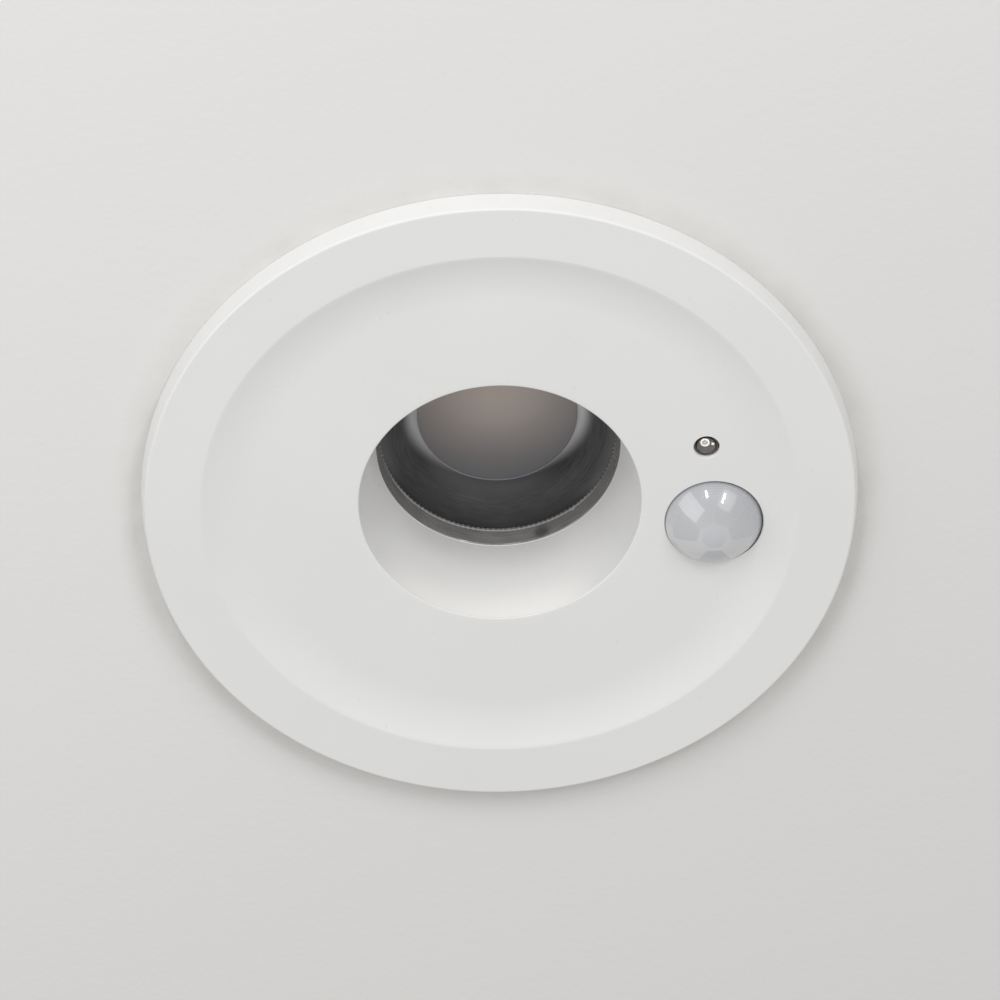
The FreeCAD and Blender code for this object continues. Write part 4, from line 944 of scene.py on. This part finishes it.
ring = {"low": 14.0, "high": 17.5, "inner": 18.9, "innerTop": 18.4, "outer": 21.4, "soft": 0.12,
        "outerSoft": 0.2, "face": [(18.51, 16.7), (18.7, 15.5), (18.88, 14.35)], "teeth": 144,
        "tooth": ((18.26, -0.2, 17.2), (18.5, 0.2, 17.48)), "toothSoft": 0.07}


def buildRing():
    r = ring
    low, high, inner, outer = r["low"], r["high"], r["inner"], r["outer"]
    section = [(inner + r["soft"], low), (outer - r["outerSoft"], low),
               (outer, low + r["outerSoft"]), (outer, high), (r["innerTop"], high), *r["face"],
               (inner, low + r["soft"])]
    body = turnedPiece("lensRingBody", section, steps=256)
    tooth = boxPiece("tooth", *r["tooth"], r["toothSoft"])
    teeth = [copied(tooth, "tooth", turn=2 * math.pi * index / r["teeth"])
             for index in range(1, r["teeth"])]
    joinedTo(body, [tooth] + teeth)
    return smoothed(body, angle=35)


lensRing = finished(buildRing(), "ringDark", "dark_ring", "lens_ring")
print("ring built:", len(lensRing.data.polygons), "faces")


# Reflector: a flared bowl whose slope steepens all the way to the disc

bowl = {"mouth": (18.4, 17.5), "exit": (12.5, 22.6), "exitSlope": 82.0, "sleeve": 13.6,
        "wall": 1.0, "seat": 22.65, "top": 26.0, "backLow": 22.5, "rim": (19.4, 21.4),
        "rimTop": 18.7}


def buildBowl():
    w = bowl
    mouth, leave = Vector(w["mouth"]), Vector(w["exit"])
    chord = leave - mouth
    lean = math.degrees(math.atan2(chord.y, -chord.x))
    turn = 2 * (w["exitSlope"] - lean)
    radius = chord.length / 2 / math.sin(math.radians(turn / 2))
    # the arc's centre lies behind the surface, square to the slope at the exit
    slope = math.radians(w["exitSlope"])
    centre = leave + Vector((math.sin(slope), math.cos(slope))) * radius
    inside = arc(centre, radius, -90 - w["exitSlope"] + turn, -90 - w["exitSlope"], steps=40)
    back, (rimInner, rimOuter) = w["sleeve"] + w["wall"], w["rim"]
    section = [(rimOuter, mouth.y), *inside, (w["sleeve"], w["seat"]), (w["sleeve"], w["top"]),
               (back, w["top"]), (back, w["backLow"]), (rimInner, w["rimTop"]),
               (rimOuter, w["rimTop"])]
    return turnedPiece("reflectorBowl", section, steps=192, angle=50)


finished(buildBowl(), "bowlDark", "reflector", "reflector")


# Diffuser: a frosted disc with a softened edge

disc = {"radius": 13.5, "low": 22.6, "high": 23.9, "rings": (0, 6, 12), "soft": 0.3}


def buildDisc():
    radius, low, high = disc["radius"], disc["low"], disc["high"]
    section = [(inner, low) for inner in disc["rings"]]
    section += roundCorner((0, low), (radius, low), (radius, high), disc["soft"], steps=4)
    section += [(radius, high), (0, high)]
    return turnedPiece("diffuserDisc", section, steps=96, angle=40)


finished(buildDisc(), "frosted", "frosted", "diffuser")
print("optic built")


# Torsion springs of the clips: a turned coil with two straight legs

spring = {"axis": (41.0, 22.5), "coil": 2.4, "wire": 0.5, "spacing": 1.5, "turns": 5.358,
          "lowerLeg": 9.0, "armLeg": 18.0, "twist": 3.4, "wireSides": 14, "steps": 140}


# How far a point of the coil lies from the middle of the coil's start (0) or end (1)
def springReach(point, end):
    s = spring
    angle = math.pi - 2 * math.pi * s["turns"] * end
    x = s["spacing"] * s["turns"] * (end - 0.5)
    middle = Vector((x, s["coil"] * math.cos(angle), s["coil"] * math.sin(angle)))
    return (point / mm - middle).length


def buildSpring(name):
    s = spring
    sweep = 2 * math.pi * s["turns"]
    length = s["spacing"] * s["turns"]
    clearSelection()
    bpy.ops.mesh.primitive_circle_add(vertices=s["wireSides"], radius=s["wire"] * mm,
                                      fill_type="NOTHING")
    piece = made(name)
    editAll(piece)
    moveSelected((-length / 2, -s["coil"], 0))
    objectMode()
    applied(piece, "SCREW", axis="X", angle=-sweep, screw_offset=length * mm, steps=s["steps"],
            render_steps=s["steps"], use_smooth_shade=True)
    # each open end runs straight on as a leg
    leave = math.pi - sweep
    around = s["coil"] * 2 * math.pi
    upward = Vector((s["spacing"], around * math.sin(leave), -around * math.cos(leave)))
    for end, way, reach in ((0, Vector((s["spacing"], 0, around)), -s["lowerLeg"]),
                            (1, upward, s["armLeg"])):
        unmarked(piece, "VERT")
        nearest = sorted(piece.data.vertices, key=lambda point: springReach(point.co, end))
        for point in nearest[:s["wireSides"]]:
            point.select = True
        editMode()
        step = way.normalized() * reach * mm
        bpy.ops.mesh.extrude_region_move(TRANSFORM_OT_translate={"value": step})
        bpy.ops.mesh.edge_face_add()
        objectMode()
    editAll(piece)
    moveSelected((0, *s["axis"]))
    objectMode()
    cleaned(piece)
    return smoothed(piece, angle=40)


rightSpring = buildSpring("rightSpring")
leftSpring = copied(rightSpring, "leftSpring", turn=math.pi)
for piece, side, sign in ((rightSpring, "right", 1), (leftSpring, "left", -1)):
    finished(piece, "springSteel", "spring", side + "_clip_spring", body=None)
    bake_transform(piece)
print("springs built:", len(rightSpring.data.polygons), "faces each")


# Pieces that keep the frame's shape and get their real rounded edges: each rounding is a
# test on both ends of an edge, a radius and a number of steps

def roundedPiece(name, node, roundings):
    piece = duplicated(nodes[node], name)
    editAll(piece)
    bpy.ops.mesh.remove_doubles(threshold=weld)
    bpy.ops.mesh.dissolve_limited(angle_limit=math.radians(0.5))
    objectMode()
    for test, radius, steps in roundings:
        editEdges(piece, test)
        bpy.ops.mesh.bevel(offset=radius * mm, segments=steps, affect="EDGES", clamp_overlap=False)
        objectMode()
    smoothed(piece, angle=30)
    return applied(piece, "WEIGHTED_NORMAL", keep_sharp=True, weight=60)


# how close a point counts as on a level, and how high an edge counts as upright
rounding = {"near": 0.02, "tall": 1.2}


# A test that both ends of an edge lie at a height and on an outline
def around(level, outline):
    return lambda *ends: all(abs(end.z - level) < rounding["near"] and outline(end) for end in ends)


def upright(a, b):
    step = a - b
    return max(abs(step.x), abs(step.y)) < rounding["near"] and abs(step.z) > rounding["tall"]


# The case and its cover: an outline with two flats each way and cut corners
case = {"outline": (38.3, 31.3, 41.2), "sideCorner": (39.0, 16.12), "endCorner": (27.51, 32.0),
        "sure": 0.05, "about": 0.3, "caseLow": 45.0, "coverHigh": 66.0, "coverLow": 64.0}


def onCase(point):
    x, y, radius = case["outline"]
    return abs(point.x) > x or abs(point.y) > y or point.xy.length > radius


def atCorner(point):
    x, y = abs(point.x), abs(point.y)
    sure, about = case["sure"], case["about"]
    sideX, sideY = case["sideCorner"]
    endX, endY = case["endCorner"]
    return abs(x - sideX) < sure and abs(y - sideY) < about or \
        abs(y - endY) < sure and abs(x - endX) < about


caseCorners = (lambda a, b: upright(a, b) and atCorner(a) and atCorner(b), 1.2, 4)


# The heat sink: a skirt round its fins, and the fins' tops and outer ends
sink = {"skirt": (44.25, 36.95), "skirtTop": 31.0, "skirtLow": 10.6, "finTop": 43.0,
        "finEnd": (41.6, 42.6), "finLow": 30.9}


def onSkirt(point):
    radius, y = sink["skirt"]
    return point.xy.length > radius or abs(point.y) > y


def finEdge(a, b):
    near = rounding["near"]
    tops = all(abs(end.z - sink["finTop"]) < near for end in (a, b))
    inner, outer = sink["finEnd"]
    ends = upright(a, b) and all(inner < end.xy.length < outer and end.z > sink["finLow"]
                                 for end in (a, b))
    return (tops or ends) and max(a.z, b.z) < sink["finTop"] + near


roundedNodes = [
    {"name": "driverCaseBody", "node": "driver_case", "finish": "caseGrey", "slot": "case",
     "roundings": [caseCorners, (around(case["caseLow"], onCase), 0.9, 4)]},
    {"name": "driverCoverBody", "node": "driver_cover", "finish": "caseGrey", "slot": "case",
     "roundings": [caseCorners, (around(case["coverHigh"], onCase), 0.6, 4),
                   (around(case["coverLow"], onCase), 0.2, 2)]},
    {"name": "heatSinkBody", "node": "heat_sink", "finish": "castAlloy", "slot": "cast",
     "roundings": [(around(sink["skirtTop"], onSkirt), 0.4, 3),
                   (around(sink["skirtLow"], onSkirt), 0.25, 3), (finEdge, 0.35, 3)]}]
for row in roundedNodes:
    piece = roundedPiece(row["name"], row["node"], row["roundings"])
    finished(piece, row["finish"], row["slot"], row["node"])


# Raised scale marks round the two dials
dialMarks = {"places": ((-12.0144, -19.6), (1.9772, -19.6)), "count": 11, "every": 5,
             "sweep": 270.0, "inner": 5.1, "outer": 5.9, "long": 6.3, "wide": 0.24, "low": 65.9,
             "high": 66.14, "soft": 0.06}


def buildDialMarks():
    d = dialMarks
    lines = []
    for index in range(d["count"]):
        outer = d["outer"] if index % d["every"] else d["long"]
        line = boxPiece("dialMark", (d["inner"], -d["wide"] / 2, d["low"]),
                        (outer, d["wide"] / 2, d["high"]), d["soft"])
        editAll(line)
        turnSelected(math.radians(90 - d["sweep"] / 2 + d["sweep"] * index / (d["count"] - 1)))
        objectMode()
        lines.append(line)
    scale = joinedTo(lines[0], lines[1:])
    scales = [copied(scale, "dialScale", place=(x, y, 0)) for x, y in d["places"]]
    bpy.data.objects.remove(scale)
    scales[0].name = "dialScales"
    joinedTo(scales[0], scales[1:])
    return smoothed(scales[0], angle=30)


finished(buildDialMarks(), "markGrey", "case")
print("case and heat sink rounded")


# Finishes of the CAD nodes that stay

nodeFinishes = {
    "foam": ["ceiling_gasket"], "canSteel": ["pir_detector"], "darkFilter": ["pir_window"],
    "whitePlastic": ["sensor_tray", "sensor_socket", "led_spacer", "terminal_block"],
    "greenBoard": ["sensor_board", "driver_board"],
    "chipBlack": ["sensor_board_parts", "fuse", "driver_board_parts", "dial_potentiometers"],
    "zincSteel": ["sensor_board_screws", "led_board_screws", "bezel_screws",
                  "clip_bracket_screws", "driver_screws", "cover_screws", "driver_board_screws",
                  "terminal_screws", "lid_pin", "right_clip_bracket", "left_clip_bracket",
                  "right_clip_pin", "left_clip_pin", "right_clip_arm", "left_clip_arm"],
    "leadSleeve": ["sensor_lead", "led_leads"], "phosphor": ["led_emitter"],
    "whiteBoard": ["led_board"], "padGrey": ["thermal_pad"], "sealRubber": ["body_seal"],
    "ferrite": ["transformer_core"], "winding": ["transformer_coil", "line_inductor"],
    "blueSleeve": ["bulk_capacitors"], "yellowBox": ["x_capacitor"], "varistorBlue": ["varistor"],
    "brass": ["terminal_clamps"], "caseGrey": ["terminal_lid"],
    "blackPlastic": ["cable_grommets", "right_clip_pad", "left_clip_pad"],
    "dialYellow": ["time_dial", "lux_dial"],
}
for look, names in nodeFinishes.items():
    for node in (nodes[name] for name in names):
        if not node.material_slots:
            node.data.materials.append(finish[look])
        for place in node.material_slots:
            place.material = finish[look]
print("CAD nodes finished")


# Stage: a pale ceiling that shows only from below, and a pale floor that shows only from above

stage = {"ceiling": (0.745, 0.74, 0.73), "floor": (0.80, 0.795, 0.79), "hole": 54.85,
         "reach": 4000.0, "ceilingLevel": 0.04, "floorLevel": -6.25, "falloffShade": 0.955,
         "falloffWay": (0.86, 0.51), "falloffReach": (-120.0, 120.0), "dustAndShade": (0.52, 0.50, 0.45),
         "shadeRing": (60.0 * mm, 55.2 * mm), "shadeNoiseScale": 160.0, "dustAndShadeShare": 0.5,
         "plasterScale": 900.0, "plasterDepth": 0.045, "rough": 0.9, "gloss": 0.1}


def stageFinish(name, colour):
    s = stage
    material = newMaterial(name)
    tree = material.node_tree
    surface = surfaceOf(material)
    place = placeIn(tree)
    x, y, z = axesOf(place)
    # painted shade: the colour falls off towards +x and +y, as the light does
    across = plus(times(x, s["falloffWay"][0]), times(y, s["falloffWay"][1]))
    shadedColour = tuple(part * s["falloffShade"] for part in colour)
    feed(material, "Base Color", mixColour(smoothRamp(across, *s["falloffReach"]), colour, shadedColour))
    # painted shade with a dusty tint, in a patchy ring round the hole where the bezel shades the
    # ceiling
    away = addNode("VectorMath", {"operation": "LENGTH", 0: place})
    edge = smoothRamp(away.outputs["Value"], *s["shadeRing"])
    patch = noise(place, s["shadeNoiseScale"], 3.0)
    repaint(material, times(patch, edge, s["dustAndShadeShare"]), s["dustAndShade"])
    addBump(material, noise(place, s["plasterScale"], 2.0), s["plasterDepth"])
    surface.inputs["Roughness"].default_value = s["rough"]
    surface.inputs["Specular IOR Level"].default_value = s["gloss"]
    clear = addNode("BsdfTransparent", {}, tree)
    back = addNode("NewGeometry", {}, tree)
    blend = addNode("MixShader", {
        0: back.outputs["Backfacing"], 1: surface.outputs[0], 2: clear.outputs[0]})
    tree.links.new(blend.outputs[0], tree.nodes["Material Output"].inputs["Surface"])
    return material


def buildStage():
    clearSelection()
    bpy.ops.mesh.primitive_circle_add(vertices=128, radius=stage["hole"] * mm, fill_type="NOTHING")
    ceiling = made("paleCeiling")
    editAll(ceiling)
    bpy.ops.mesh.extrude_region_move()
    grow = stage["reach"] / stage["hole"]
    bpy.ops.transform.resize(value=(grow, grow, 1))
    bpy.ops.mesh.select_all(action="SELECT")
    moveSelected((0, 0, stage["ceilingLevel"]))
    bpy.ops.mesh.normals_make_consistent(inside=False)
    objectMode()
    if ceiling.data.polygons[0].normal.z > 0:
        editAll(ceiling)
        bpy.ops.mesh.flip_normals()
        objectMode()
    ceiling.data.materials.append(stageFinish("ceilingPaint", stage["ceiling"]))
    clearSelection()
    bpy.ops.mesh.primitive_plane_add(size=2 * stage["reach"] * mm)
    floor = made("paleFloor")
    editAll(floor)
    moveSelected((0, 0, stage["floorLevel"]))
    objectMode()
    floor.data.materials.append(stageFinish("floorPaint", stage["floor"]))
    for ray in ("shadow", "diffuse", "glossy", "transmission"):
        setattr(floor, "visible_" + ray, False)


buildStage()


# Lamps and world

# name: direction from the part, distance and size in m, power in W
lamps = {
    "windowLeft": ((-0.77, -0.31, -0.56), 0.75, (0.51, 0.78), 1.98),
    "windowRight": ((0.43, -0.71, -0.56), 1.25, (0.66, 0.90), 2.0),
    "stripLeft": ((-0.299, -0.843, -0.449), 0.9, (0.055, 0.25), 1.35),
    "stripRight": ((0.303, -0.794, -0.526), 1.0, (0.075, 0.38), 2.05),
    "keyAbove": ((0.43, -0.55, 0.72), 1.7, (0.9, 0.9), 13.0),
    "rimAbove": ((-0.72, 0.46, 0.52), 1.5, (0.8, 0.8), 7.0),
}
room = {"hidden": 0.54, "seen": 0.71, "colour": (1, 0.995, 0.985, 1)}


def addLamps():
    for name, (way, away, size, power) in lamps.items():
        clearSelection()
        aim = Vector(way).normalized()
        bpy.ops.object.light_add(type="AREA", location=aim * away)
        light = made(name)
        light.rotation_euler = aim.to_track_quat("Z", "Y").to_euler()
        light.data.shape = "RECTANGLE"
        light.data.size, light.data.size_y = size
        light.data.energy = power


# The room is brighter where it is seen or mirrored than where it only lights
def addWorld():
    world = bpy.data.worlds.new("paleRoom")
    bpy.context.scene.world = world
    world.use_nodes = True
    tree = world.node_tree
    backdrop = tree.nodes["Background"]
    ray = addNode("LightPath", {}, tree).outputs
    seen = maths("MAXIMUM", ray["Is Camera Ray"], ray["Is Transmission Ray"])
    seen = maths("MAXIMUM", seen, ray["Is Glossy Ray"])
    tree.links.new(ramp(seen, 0.0, 1.0, room["hidden"], room["seen"]), backdrop.inputs["Strength"])
    backdrop.inputs["Color"].default_value = room["colour"]


addLamps()
addWorld()
bpy.context.scene.view_settings.view_transform = "Standard"
print("stage and lamps set")

clearSelection()
